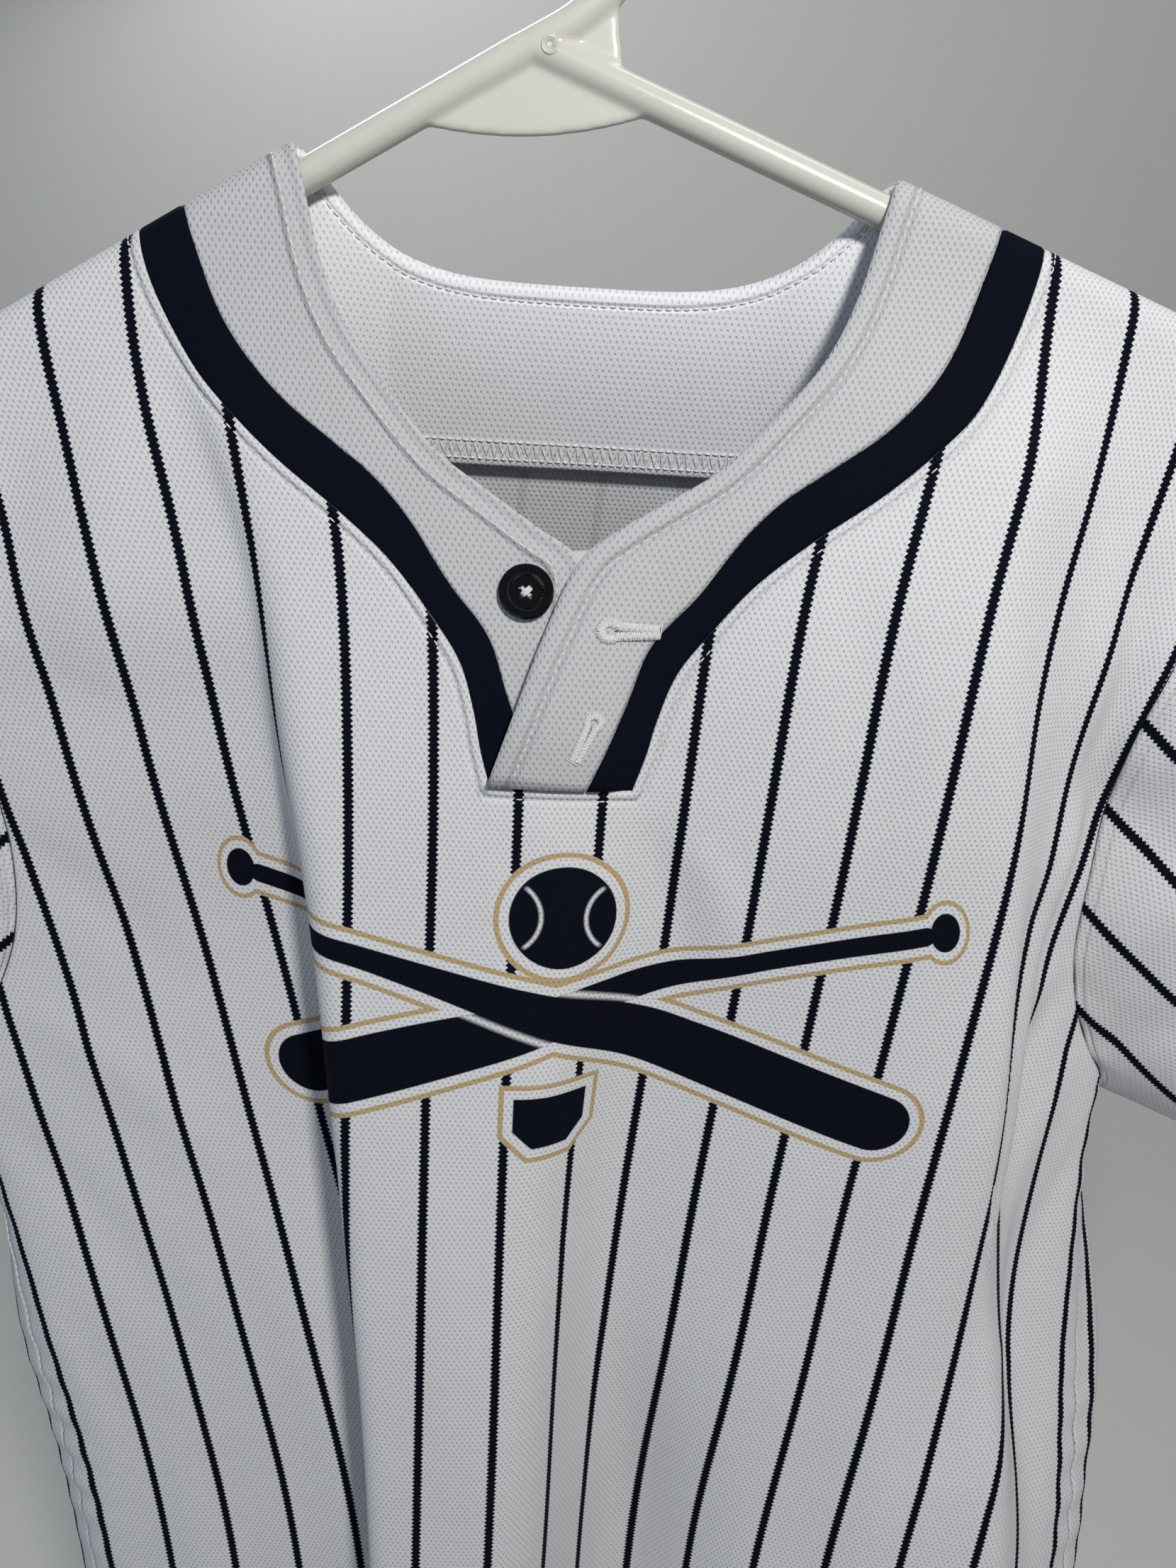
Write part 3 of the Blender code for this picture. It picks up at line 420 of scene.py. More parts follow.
def armhole_s(t, shoulder, t_top):
    """s of the sleeve seam: from the shoulder it cuts in, then runs out to the armpit."""
    a = np.clip((t - t_top) / (ARMPIT_DEPTH - t_top), 0, 1)
    return shoulder - ARMHOLE_DIP * np.sin(np.pi * a) + (CHEST_HALF - shoulder) * a**6


# The neck's curves across the back: half width at the shoulder, drop at the centre, and how square they are
BACK_CURVES = {"free": (NECK_HALF_BACK, BACK_NECK_DROP, 4.0),
               "seam": (NECK_HALF_BACK + 29, BACK_BAND_DROP, 3.4),
               "edge": (NECK_HALF_BACK + 41, BACK_INSERT_DROP, 3.0)}


def back_curve(name, a):
    """The curve at shares a from -1 to 1 of its half width."""
    half, low, square = BACK_CURVES[name]
    end_t = np.where(a < 0, back_shoulder_t(np.array([-half]))[0], back_shoulder_t(np.array([half]))[0])
    end_t = end_t + BEND_GAP
    return np.stack([half * a, low - (low - end_t) * np.abs(a)**square], -1)


def lap(s, t, edge_s):
    """How far out the left band lies where it laps over the right one, easing down to the insert's edge."""
    rise = through(t, LAP_T, LAP_RISE) * (t > LAP_T[0])
    return rise * (1 - ease((s - 9) / np.maximum(edge_s - 9, 1)))


# Creases: soft ridges and troughs in the pattern. Each row has s0, t0, s1, t1, bow, width and height:
# it runs from (s0, t0) to (s1, t1), bowed sideways in its middle. Ridges are positive, troughs negative.
FRONT_CREASES = [
    (150, 84, 168, 205, 6, 9, 2.8),
    (166, 90, 180, 240, 8, 8, -4.2),
    (186, 130, 176, 300, -9, 9, 3.6),
    (158, 190, 168, 420, 3, 9, -4.6),
    (200, 236, 182, 372, -8, 8, -3.6),
    (216, 268, 196, 430, -10, 10, 3.4),
    (236, 300, 214, 392, -6, 7, -1.6),
    (228, 388, 222, 520, 5, 9, 1.5),
    (206, 430, 196, 640, 6, 10, -1.4),
    (26, 176, 44, 248, 4, 8, -1.7),
    (41, 182, 63, 232, 3, 7, 1.2),
    (16, 186, 24, 240, -3, 6, 0.9),
    (-14, 180, -4, 262, 4, 8, -0.9),
    (70, 96, 84, 150, 4, 9, -0.9),
    (100, 120, 112, 260, 6, 13, 1.7),
    (124, 270, 118, 470, -5, 14, -2.3),
    (142, 380, 150, 630, 6, 15, 2.5),
    (-110, 60, -150, 150, -6, 12, 2.2),
    (-128, 52, -176, 132, -8, 10, -3.6),
    (-150, 60, -190, 118, -5, 9, 2.8),
    (-196, 196, -150, 262, 8, 12, -1.2),
    (-214, 262, -150, 330, 10, 13, 1.5),
    (-232, 300, -178, 430, 9, 12, -1.5),
    (-118, 300, -104, 520, 6, 16, -2.6),
    (-146, 330, -136, 640, 5, 15, 2.2),
    (-200, 430, -190, 640, -4, 14, 2.4),
    (-236, 380, -228, 470, 4, 7, 1.0),
    (-34, 300, -30, 430, 3, 12, 1.1),
    (6, 330, 14, 560, -4, 12, 1.6),
    (60, 380, 54, 610, 4, 14, -1.9),
    (-72, 176, -66, 300, 2, 6, 0.9),
]
BACK_CREASES = [
    (-190, 120, -150, 260, 10, 14, 1.8),
    (-214, 240, -150, 330, 12, 13, -1.9),
    (-232, 296, -170, 420, 12, 12, 1.9),
    (190, 124, 148, 250, -10, 14, 1.8),
    (214, 236, 156, 340, -12, 12, -1.9),
    (230, 300, 172, 430, -10, 13, 1.8),
    (-60, 96, -84, 230, 8, 16, 1.4),
    (-30, 88, -40, 210, -6, 14, -1.2),
    (26, 90, 34, 240, 6, 15, 1.3),
    (66, 96, 92, 220, -8, 15, -1.4),
    (-110, 300, -96, 470, 8, 15, 1.2),
    (108, 320, 120, 500, -8, 15, -1.2),
    (0, 330, 8, 560, 6, 16, 1.1),
    (-190, 430, -200, 620, 5, 13, -1.2),
    (192, 440, 182, 630, -5, 13, 1.2),
    (-56, 420, -48, 640, 5, 15, -1.1),
    (70, 450, 62, 650, -5, 15, 1.1),
    (217, 258, 214, 444, 2, 13, 24),
]
# On a sleeve: places are (share round from the armpit by the front, share from seam to cuff)
SLEEVE_CREASES = [
    (0.06, 0.02, 0.24, 0.85, 0.02, 0.030, -3.0),
    (0.12, 0.00, 0.34, 0.62, 0.03, 0.034, 3.2),
    (0.20, 0.00, 0.44, 0.48, 0.03, 0.032, -2.4),
    (0.30, 0.05, 0.55, 0.66, -0.03, 0.040, 2.2),
    (0.62, 0.10, 0.52, 0.92, 0.02, 0.044, -1.8),
    (0.74, 0.02, 0.60, 0.70, -0.02, 0.040, 2.2),
    (0.46, 0.45, 0.40, 0.97, 0.02, 0.034, 1.6),
    (0.16, 0.50, 0.12, 0.98, 0.02, 0.040, 2.4),
]


def crease_sum(table, s, t):
    """Outward millimetres of all creases: a bell across each bowed line, rising and falling along it."""
    total = 0.0 * s
    for s0, t0, s1, t1, bow, width, height in table:
        ds, dt = s1 - s0, t1 - t0
        far = math.hypot(ds, dt)
        along = ((s - s0) * ds + (t - t0) * dt) / far**2
        off = ((s - s0) * dt - (t - t0) * ds) / far - bow * 4 * along * (1 - along)
        inside = np.clip(along * (1 - along) * 4, 0, 1)
        spread = width * (0.75 + 0.5 * np.clip(along, 0, 1))
        total = total + height * np.exp(-(off / spread) ** 2) * inside**0.8
    return total


def ripple(s, t, phase):
    """A slow unevenness of the whole cloth, under a millimetre: three crossing waves."""
    return (0.32 * np.sin(s / 23 + t / 71 + phase) * np.sin(t / 47 - s / 90 + 2 * phase)
            + 0.22 * np.sin(s / 13.7 - t / 38 + 1.7 * phase) + 0.18 * np.sin(t / 17.3 + s / 29 + phase)
            * np.sin(s / 61 + 0.6 * phase))


def pucker(distance, along, reach, height, pitch):
    """Small gathers beside a sewn seam: waves along it that die out away from it."""
    beat = np.sin(2 * np.pi * along / pitch + 1.3 * np.sin(along / 37)) * (0.6 + 0.4 * np.sin(along / 23 + 1))
    return height * beat * np.exp(-(distance / reach) ** 2)


def panel_face(uv, creases, phase, clear, reach):
    """The outer surface of a panel as a function of the pattern's s and t: its main form, moved out along its
    normal by creases and ripples, which begin below the arm by clear and grow over reach, by small gathers
    along the side seams below the armpit, and by a distance of the caller's."""
    def face(s, t, out=0.0):
        free = ease((t - arm_t(s) - clear) / reach)
        low = ease((t - ARMPIT_DEPTH + 20) / 40)
        folds = free * (crease_sum(creases, s, t) + ripple(s, t, phase))
        return cloth(uv, s, t, folds + low * pucker(CHEST_HALF - np.abs(s), t, 10, 0.8, 17) + out + 0 * s)
    return face


front_face = panel_face(front_uv, FRONT_CREASES, 0.4, 12, 60)
back_face = panel_face(back_uv, BACK_CREASES, 2.1, 18, 70)


# Meshes

def write_mesh(name, points, faces, paint, uv=None, floats=()):
    """A mesh object in metres from millimetre points and quads, with pattern coordinates as its UV map."""
    mesh = bpy.data.meshes.new(name)
    mesh.vertices.add(len(points))
    mesh.vertices.foreach_set("co", (points * MM).astype(np.float32).ravel())
    faces = np.asarray(faces, np.int32)
    mesh.loops.add(faces.size)
    mesh.loops.foreach_set("vertex_index", faces.ravel())
    mesh.polygons.add(len(faces))
    mesh.polygons.foreach_set("loop_start", np.arange(len(faces), dtype=np.int32) * faces.shape[1])
    if uv is not None:
        layer = mesh.uv_layers.new(name="pattern")
        layer.data.foreach_set("uv", (uv[faces.ravel()] * MM).astype(np.float32).ravel())
    for label, values in floats:
        mesh.attributes.new(label, "FLOAT", "POINT").data.foreach_set("value", values.astype(np.float32))
    mesh.update(calc_edges=True)
    mesh.shade_smooth()
    return placed(name, mesh, paint)


def placed(name, mesh, paint):
    """An object of this mesh and paint in the scene."""
    mesh.materials.append(paint)
    obj = bpy.data.objects.new(name, mesh)
    bpy.context.scene.collection.objects.link(obj)
    return obj


def normals(points, wrap=False):
    """Unit normals of a grid of points, from the differences between its rows and its columns."""
    across = (np.roll(points, -1, 1) - np.roll(points, 1, 1)) if wrap else np.gradient(points, axis=1)
    return unit(np.cross(np.gradient(points, axis=0), across))


def face_normals(face, s, t, reach=0.2):
    """Outward unit normals of a face function at pattern places, from short steps along s and t."""
    s = np.clip(s, 1.01 * reach - CHEST_HALF, CHEST_HALF - 1.01 * reach)
    way_s = face(s + reach, t) - face(s - reach, t)
    way_t = face(s, t + reach) - face(s, t - reach * 0.02)
    return unit(np.cross(way_t, way_s))


def shell(name, points, pattern, paint, wall, rims=(0.5, 0.5, 0.5, 0.5), flip=False, floats=(), n=None):
    """Cloth with both its faces: each grid point moved half the wall out and in along its normal, less at
    the free edges so that they look rolled, with a rim that joins the faces. rims has the shares of the
    wall left at the first row, last row, first column and last column."""
    rows, cols = points.shape[:2]
    n = normals(points) if n is None else n
    thick = np.full((rows, cols), wall / 2)
    for line, share in zip((thick[0], thick[-1], thick[:, 0], thick[:, -1]), rims):
        line *= share
    sides = np.concatenate([(points + n * thick[..., None]).reshape(-1, 3),
                            (points - n * thick[..., None]).reshape(-1, 3)])
    index = np.arange(rows * cols).reshape(rows, cols)
    a, b, c, d = index[:-1, :-1], index[1:, :-1], index[1:, 1:], index[:-1, 1:]
    outer = np.stack([a, b, c, d], -1).reshape(-1, 4)
    inner = np.stack([d, c, b, a], -1).reshape(-1, 4) + rows * cols
    loops = [index[0], index[-1][::-1], index[:, 0][::-1], index[:, -1]]
    edge = [np.stack([q[:-1], q[1:], q[1:] + rows * cols, q[:-1] + rows * cols], -1) for q in loops]
    faces = np.concatenate([outer, inner] + edge)
    if flip:
        faces = faces[:, ::-1]
    uv = np.tile(pattern.reshape(-1, 2), (2, 1))
    both = [(label, np.tile(np.asarray(v, float).ravel(), 2)) for label, v in floats]
    both.append(("inside", np.repeat([1.0, 0.0] if flip else [0.0, 1.0], rows * cols)))
    return write_mesh(name, sides, faces, paint, uv, both)


def distance_to(curve, s, t):
    """Distance in the pattern from points to a polyline."""
    best = np.full(s.shape, 1e9)
    for a, b in zip(curve[:-1], curve[1:]):
        d = b - a
        w = np.clip(((s - a[0]) * d[0] + (t - a[1]) * d[1]) / max(float(d @ d), 1e-9), 0, 1)
        best = np.minimum(best, np.hypot(s - a[0] - w * d[0], t - a[1] - w * d[1]))
    return best


# The cloth pieces, finer than their solids and sewn edge to edge

SEWN = 0.12                # half of the slit left between sewn edges
PANEL_THICK, BAND_THICK, FACING_THICK = 1.0, 1.3, 0.9
BEND_ROWS, ARM_ROWS, BODY_ROWS = 10, 62, 120     # of a panel: over the hanger's arm, to the armpit, to the hem
CROWDING = 1.2             # columns close up towards the side seams, where the cloth turns sharply
SLEEVE_PITCH = 0.86        # the sleeves' stripes lie this much further apart
SLEEVE_ROUND, SLEEVE_ROWS = 96, 110              # points along half of the armhole, and rows down to the cuff
SLEEVE_SPAN, SLEEVE_HEM = 170.0, 190.0           # millimetres of a whole share, at the seam and at the cuff
FINE_NECK = np.concatenate([np.linspace(0, 1, 12)[:-1] ** 1.2, np.linspace(1, len(NECK_STATIONS) - 1, 56)])
FINE_BACK = np.sin(np.linspace(-1, 1, 111) * math.pi / 2)


def panel_grid(neck, shoulder, shoulder_t_of, count):
    """A body panel's pattern grid by the same blend of its four edges as in its solid, with finer rows: close
    together over the hanger's arm, then even to the armpit and to the hem. neck has the hole's edge from the
    centre outwards, on the -s side and on the +s side."""
    bend = TUBE_REACH * math.pi / 2 * 1.1 / BODY_LENGTH
    b = np.concatenate([np.linspace(0, bend, BEND_ROWS)[:-1], np.linspace(bend, ARMPIT_SHARE, ARM_ROWS),
                        np.linspace(ARMPIT_SHARE, 1, BODY_ROWS)[1:]])
    tops, lows, sides = [], [], []
    for sign, edge in zip((-1, 1), neck):
        crowd = 1 - (1 - np.linspace(0, 1, count + 1)[1:]) ** CROWDING
        reach = abs(edge[-1, 0])
        out = sign * (reach + (shoulder - SEWN - reach) * crowd)
        top = np.concatenate([edge, np.stack([out, shoulder_t_of(out) + SEWN], -1)])
        along = travelled(edge)
        low_s = sign * np.concatenate([reach * along / along[-1], reach + (CHEST_HALF - SEWN - reach) * crowd])
        tops.append(top)
        lows.append(np.stack([low_s, 0 * low_s + BODY_LENGTH], -1))
        t = side_t(top[-1, 1], b)
        s = np.where(t < ARMPIT_DEPTH, armhole_s(t, shoulder, top[-1, 1]), CHEST_HALF)
        sides.append(np.stack([sign * (s - SEWN), t], -1))
    top, bottom = (np.concatenate([pair[0][::-1], pair[1][1:]]) for pair in (tops, lows))
    return fill(top, bottom, sides[0], sides[1], b)


def blend(a, b, share):
    """A pattern grid between two edges at these shares across."""
    return a[:, None] * (1 - share[..., None]) + b[:, None] * share[..., None]


def declare(obj, node, slot):
    """Puts a cloth piece on the root body in place of its solid, which it hides. slot is not used."""
    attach(obj, "root")
    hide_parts(node)


def front_neck():
    """The hole for the neck in the front: from the middle of the placket's foot out and up, on each side."""
    foot_t = PLACKET_FOOT + SEWN
    foot = np.stack([np.linspace(0, 20.4, 9), np.full(9, foot_t)], -1)
    neck = []
    for sign in (-1, 1):
        edge = moved(neck_edge(sign, "edge_s", FINE_NECK[::-1]), -sign * SEWN)
        edge[0, 1] = foot_t
        neck.append(np.concatenate([foot * [sign, 1], edge]))
    return neck


def back_neck():
    """The hole for the neck in the back, from its middle out, on each side."""
    half = np.sin(np.linspace(0, math.pi / 2, 60))
    return [moved(back_curve("edge", sign * half), -sign * SEWN) for sign in (-1, 1)]


def panel_cloth(name, node, paint, neck, shoulder, shoulder_t_of, columns, face, flip=False):
    """A body panel: the solid's blend of edges, its main form, and the listed creases moved out."""
    grid = panel_grid(neck, shoulder, shoulder_t_of, columns)
    s, t = grid[..., 0], grid[..., 1]
    rim = distance_to(np.concatenate([neck[0][::-1], neck[1]]), s, t)
    obj = shell(name, face(s, t), grid, paint, PANEL_THICK, (0.5, 0.9, 0.5, 0.5), flip,
                (("rim", rim), ("hem", BODY_LENGTH - t)), face_normals(face, s, t))
    declare(obj, node, "pinstripe_knit")


def neck_strip(kind, side, paint, edges, grid, points, flip=False):
    """One strip of the neck, which is a band or an insert, between a free or upper edge and a lower one."""
    rim, sewn = (distance_to(edge, grid[..., 0], grid[..., 1]) for edge in edges)
    obj = shell(f"cloth_{kind}_{side}", points, grid, paint, BAND_THICK, (0.6, 0.6, 0.55, 0.55), flip,
                (("rim", rim), ("sewn", sewn)))
    declare(obj, f"neck_{kind}_{side}", {"band": "band_mesh", "insert": "dark_insert"}[kind])


def neck_cloth(paints):
    """The bands and dark inserts of the neck. In front, the wearer's left ones lap over the right ones."""
    for side, sign, free in (("left", 1, "free_s"), ("right", -1, "under_s")):
        for kind, ends, count, gap in (("band", (free, "seam_s"), 26, 0.0),
                                       ("insert", ("seam_s", "edge_s"), 14, SEWN)):
            edges = [neck_edge(sign, end, FINE_NECK) for end in ends]
            wide = np.linalg.norm(edges[1] - edges[0], axis=-1)[:, None]
            grid = blend(*edges, gap / wide + np.linspace(0, 1, count)[None, :] * (1 - (gap + SEWN) / wide))
            s, t = grid[..., 0], grid[..., 1]
            out = lap(s, t, station("edge_s", FINE_NECK)[:, None]) if sign > 0 else 0 * s
            neck_strip(kind, side, paints[kind], edges, grid, front_face(s, t, out), sign < 0)
    for kind, ends, count, start in (("band", ("free", "seam"), 22, 0.0),
                                     ("insert", ("seam", "edge"), 10, 0.01)):
        edges = [back_curve(end, FINE_BACK) for end in ends]
        grid = blend(*edges, np.linspace(start, 0.99, count)[None, :])
        neck_strip(kind, "back", paints[kind], edges, grid, back_face(grid[..., 0], grid[..., 1]))


def facing_cloth(paint):
    """The facing inside the back neck, hanging a little free of the back at its foot."""
    top = back_curve("free", FINE_BACK)
    foot = np.stack([(NECK_HALF_BACK + 2) * FINE_BACK, 0 * FINE_BACK + FACING_FOOT], -1)
    c = np.concatenate([np.linspace(0, 0.34, 12)[:-1], np.linspace(0.34, 1, 22)])[None, :]
    grid = blend(top, foot, c)
    s, t = grid[..., 0], grid[..., 1]
    inset = (FACING_INSET - 0.5) * ease(c * 14) + 0.6 + FACING_HANG * c
    obj = shell("cloth_facing", back_face(s, t, -inset), grid, paint, FACING_THICK, (0.6, 0.6, 0.6, 0.6),
                floats=(("rim", distance_to(top, s, t)), ("sewn", FACING_FOOT - t)))
    declare(obj, "back_facing", "band_mesh")


def armhole(face, sign, shoulder, shoulder_t_of):
    """The armhole's line on one panel in space, from the armpit up to the shoulder."""
    t_top = float(shoulder_t_of(np.array([sign * shoulder]))[0])
    up = ARMPIT_DEPTH + (t_top - ARMPIT_DEPTH) * np.linspace(0, 1, SLEEVE_ROUND)
    seam = moved(np.stack([sign * armhole_s(up, shoulder, t_top), up], -1), -sign * (SEWN + 0.2))
    return face(seam[:, 0], np.maximum(seam[:, 1], shoulder_t_of(seam[:, 0]) + 0.05))


def shut(rings):
    """Rings with their first point put again at their end."""
    return np.concatenate([rings, rings[:, :1]], 1)


def sleeve_cloth(sign, name, node, paint):
    """A sleeve: straight lines from the armhole's ring to the cuff's oval, with creases, ripples and small
    gathers moved out, and pattern coordinates measured across its long way from the shoulder line."""
    front = armhole(front_face, sign, SHOULDER_FRONT, front_shoulder_t)
    back = armhole(back_face, sign, SHOULDER_BACK, back_shoulder_t)
    ring = np.concatenate([front, back[-2:0:-1]])
    share = travelled(front) / travelled(front)[-1]
    angle = np.pi * np.concatenate([share, 2 - share[-2:0:-1]])
    fall = LEFT_FALL if sign > 0 else RIGHT_FALL
    turn = np.array([sign, 0, 1.0])
    tip, pit = front[-1], front[0]
    top = tip + SLEEVE_TOP * turn * [math.cos(fall), 0, -math.sin(fall)]
    under = pit + SLEEVE_UNDER * turn * [math.cos(UNDER_FALL), 0, -math.sin(UNDER_FALL)]
    middle, reach = (top + under) / 2, (top - under) / 2
    middle[1], reach[1] = SLEEVE_MIDDLE, 0
    cuff = middle - reach * np.cos(angle)[:, None] - [0, CUFF_DEPTH, 0] * np.sin(angle)[:, None]
    w = np.linspace(0, 1, SLEEVE_ROWS)[:, None]
    points = ring[None] * (1 - w[..., None]) + cuff[None] * w[..., None]
    a = (angle / (2 * np.pi))[None, :] + 0 * w
    w = w + 0 * a
    n = normals(points, wrap=True)
    outward = np.sign(((points - points.mean(1, keepdims=True)) * n).sum(-1).mean())
    rise = ease(w / 0.10) * ease((1.02 - w) / 0.14)
    out = rise * (crease_sum(SLEEVE_CREASES, a, w) + ripple(a * 420, w * 200, 0.9 + sign))
    out = out + pucker(w * SLEEVE_SPAN, a * 430, 9, 0.7, 19)
    points = points + n * outward * out[..., None]
    closed = shut(points)
    way = turn * [math.cos(fall), 0, -math.sin(fall)]
    down = np.array([-way[2], 0, way[0]]) * -sign
    steps = np.diff(closed, axis=1)
    travel = np.hypot(steps @ down, steps[..., 1])
    across = np.hstack([np.zeros((SLEEVE_ROWS, 1)), np.cumsum(travel, 1)])
    across = (across - across[:, SLEEVE_ROUND - 1:SLEEVE_ROUND]) * SLEEVE_PITCH
    along = shut(w)
    pattern = np.stack([across, shut((points - tip) @ way)], -1)
    obj = shell(name, closed, pattern, paint, PANEL_THICK, (0.4, 0.9, 1, 1), outward < 0,
                (("rim", along * SLEEVE_SPAN), ("hem", (1 - along) * SLEEVE_HEM)))
    declare(obj, node, "pinstripe_knit")


# Paints: shader formulas over the pattern's millimetres

class Term:
    """A number in a shader's node tree, so that a formula reads as arithmetic."""

    def __init__(self, tree, socket):
        self.tree, self.socket = tree, socket

    def op(self, kind, *others):
        """The result of a math node fed with this term and the others."""
        node = self.tree.nodes.new("ShaderNodeMath")
        node.operation = kind
        for entry, value in zip(node.inputs, (self,) + others):
            if isinstance(value, Term):
                self.tree.links.new(value.socket, entry)
            else:
                entry.default_value = value
        return Term(self.tree, node.outputs[0])

    __add__ = __radd__ = partialmethod(op, "ADD")
    __mul__ = __rmul__ = partialmethod(op, "MULTIPLY")
    __sub__ = partialmethod(op, "SUBTRACT")
    __pow__ = partialmethod(op, "POWER")
    __abs__ = partialmethod(op, "ABSOLUTE")
    least = partialmethod(op, "MINIMUM")
    most = partialmethod(op, "MAXIMUM")

    def __rsub__(self, x):
        return self * -1.0 + x

    def cos(self, period):
        """Its cosine with this period."""
        return (self * (2 * math.pi / period)).op("COSINE")

    def saw(self, period):
        """A triangle wave from -1 to 1 with this period."""
        return abs(self.op("WRAP", period / 2, -period / 2)) * (4 / period) - 1.0

    def smooth(self, low, high):
        """0 up to low and 1 from high, smooth between; the other way round where low is above high."""
        node = self.tree.nodes.new("ShaderNodeMapRange")
        node.interpolation_type = "SMOOTHSTEP"
        self.tree.links.new(self.socket, node.inputs["Value"])
        node.inputs["From Min"].default_value = low
        node.inputs["From Max"].default_value = high
        return Term(self.tree, node.outputs["Result"])

    def bump(self, middle, half):
        """A bell of height 1 round a middle, with this half width."""
        return abs(self - middle).smooth(half, 0.0)


def length(x, y):
    """The root of the squares' sum, of two terms."""
    return (x * x + y * y) ** 0.5


class Paint:
    """A material being drawn up: its pattern place, stored fields, noise, colour and relief."""

    def __init__(self, name, gleam=0.08):
        self.mat = bpy.data.materials.new(name)
        self.mat.use_nodes = True
        self.tree = self.mat.node_tree
        self.shader = self.tree.nodes["Principled BSDF"]
        self.set("Specular IOR Level", gleam)

    def set(self, name, value):
        """Gives an input of the shader a number, a colour triple, a term or a mixed colour."""
        entry = self.shader.inputs[name]
        if isinstance(value, (Term, bpy.types.NodeSocket)):
            self.tree.links.new(getattr(value, "socket", value), entry)
        else:
            entry.default_value = (*value, 1) if isinstance(value, tuple) else value

    def apart(self, output):
        """The numbers of a place in millimetres."""
        node = self.tree.nodes.new("ShaderNodeSeparateXYZ")
        self.tree.links.new(output, node.inputs[0])
        return [Term(self.tree, out) * 1000.0 for out in node.outputs]

    def pattern(self):
        """The UV map's pattern place in millimetres, s across and t down."""
        node = self.tree.nodes.new("ShaderNodeUVMap")
        node.uv_map = "pattern"
        return self.apart(node.outputs["UV"])[:2]

    def place(self):
        """The object's own place in millimetres, as three numbers."""
        return self.apart(self.tree.nodes.new("ShaderNodeTexCoord").outputs["Object"])

    def field(self, name):
        """A number that the mesh stores at each point."""
        node = self.tree.nodes.new("ShaderNodeAttribute")
        node.attribute_name = name
        return Term(self.tree, node.outputs["Fac"])

    def noise(self, place, size, detail=2.0):
        """Noise from -1 to 1 over the given coordinates, with features of this size in millimetres."""
        joined = self.tree.nodes.new("ShaderNodeCombineXYZ")
        for entry, value in zip(joined.inputs, place):
            self.tree.links.new((value * (1 / size)).socket, entry)
        node = self.tree.nodes.new("ShaderNodeTexNoise")
        node.inputs["Scale"].default_value = 1.0
        node.inputs["Detail"].default_value = detail
        self.tree.links.new(joined.outputs[0], node.inputs["Vector"])
        return Term(self.tree, node.outputs["Fac"]) * 2.0 - 1.0

    def mix(self, share, first, second):
        """Colour between two, each a triple or a mixed colour before."""
        node = self.tree.nodes.new("ShaderNodeMix")
        node.data_type = "RGBA"
        self.tree.links.new(share.socket, node.inputs[0])
        for entry, colour in ((node.inputs[6], first), (node.inputs[7], second)):
            if isinstance(colour, tuple):
                entry.default_value = (*colour, 1)
            else:
                self.tree.links.new(colour, entry)
        return node.outputs[2]

    def uneven(self, place, size, tone, share=0.97):
        """A tone that fades in soft clouds of this size to a share of itself."""
        return self.mix((self.noise(place, size) * 0.5 + 0.5).smooth(0.2, 0.8), tone, dimmed(tone, share))

    def done(self, colour, rough, relief):
        """Sets the colour, roughness and relief, whose height is in millimetres."""
        self.set("Base Color", colour)
        self.set("Roughness", rough)
        node = self.tree.nodes.new("ShaderNodeBump")
        node.inputs["Distance"].default_value = MM
        self.tree.links.new(relief.socket, node.inputs["Height"])
        self.set("Normal", node.outputs[0])
        return self.mat


def dimmed(colour, share):
    """A colour times a share."""
    return tuple(c * share for c in colour)


INK = (0.0030, 0.0040, 0.0110)
WHITE = (0.73, 0.735, 0.755)
GREY = (0.74, 0.75, 0.78)
GOLD = (0.52, 0.38, 0.20)
STRIPE_PITCH, STRIPE_HALF = 25.0, 1.42
JAG_PITCH, JAG = 1.6, 0.42             # the knitted teeth along a stripe's edge
KNIT_HOLES, MESH_HOLES = (1.75, 2.9), (1.9, 3.1)    # how far apart they are, across and down
SHOW_THROUGH = 0.14                    # of the print, on the inside
PANEL_ROW, BAND_ROW, FACING_ROW = 3.3, 6.4, 3.8     # how far the neck's stitching runs from each piece's edge
HEM_ROWS = (19.0, 25.0)                             # and the hem's above the hem


def holes(s, t, wide, high):
    """1 in the small upright pinholes of the mesh, which are staggered from row to row."""
    return (s.cos(wide) * t.cos(high)).smooth(0.30, 0.95)


def stripes(s, t):
    """1 on the pinstripes, which stand either side of the centre front and have knitted, jagged edges."""
    off = abs((s - STRIPE_PITCH / 2).op("WRAP", STRIPE_PITCH / 2, -STRIPE_PITCH / 2))
    return (off - (t + s * 0.1).saw(JAG_PITCH) * JAG).smooth(STRIPE_HALF + 0.14, STRIPE_HALF - 0.14)


BAT_TURN = math.radians(17.0)
BAT_MIDDLE = (2.0, 243.0)
BAT_LENGTH = 250.0
BAT_GRIP, BAT_SWELL, BAT_KNOB = 3.4, 7.2, 7.0     # radii: the handle, what the barrel adds, and the knob
BALL_S, BALL_T, BALL_RADIUS = 3.0, 209.0, 17.0
PLATE_T, PLATE_HALF, PLATE_HIGH, PLATE_POINT = 279.0, 13.0, 9.0, 11.0
LACE_OFF, LACE_BEND = 19.0, 12.0                  # the laces' centres beside the ball, and their radius


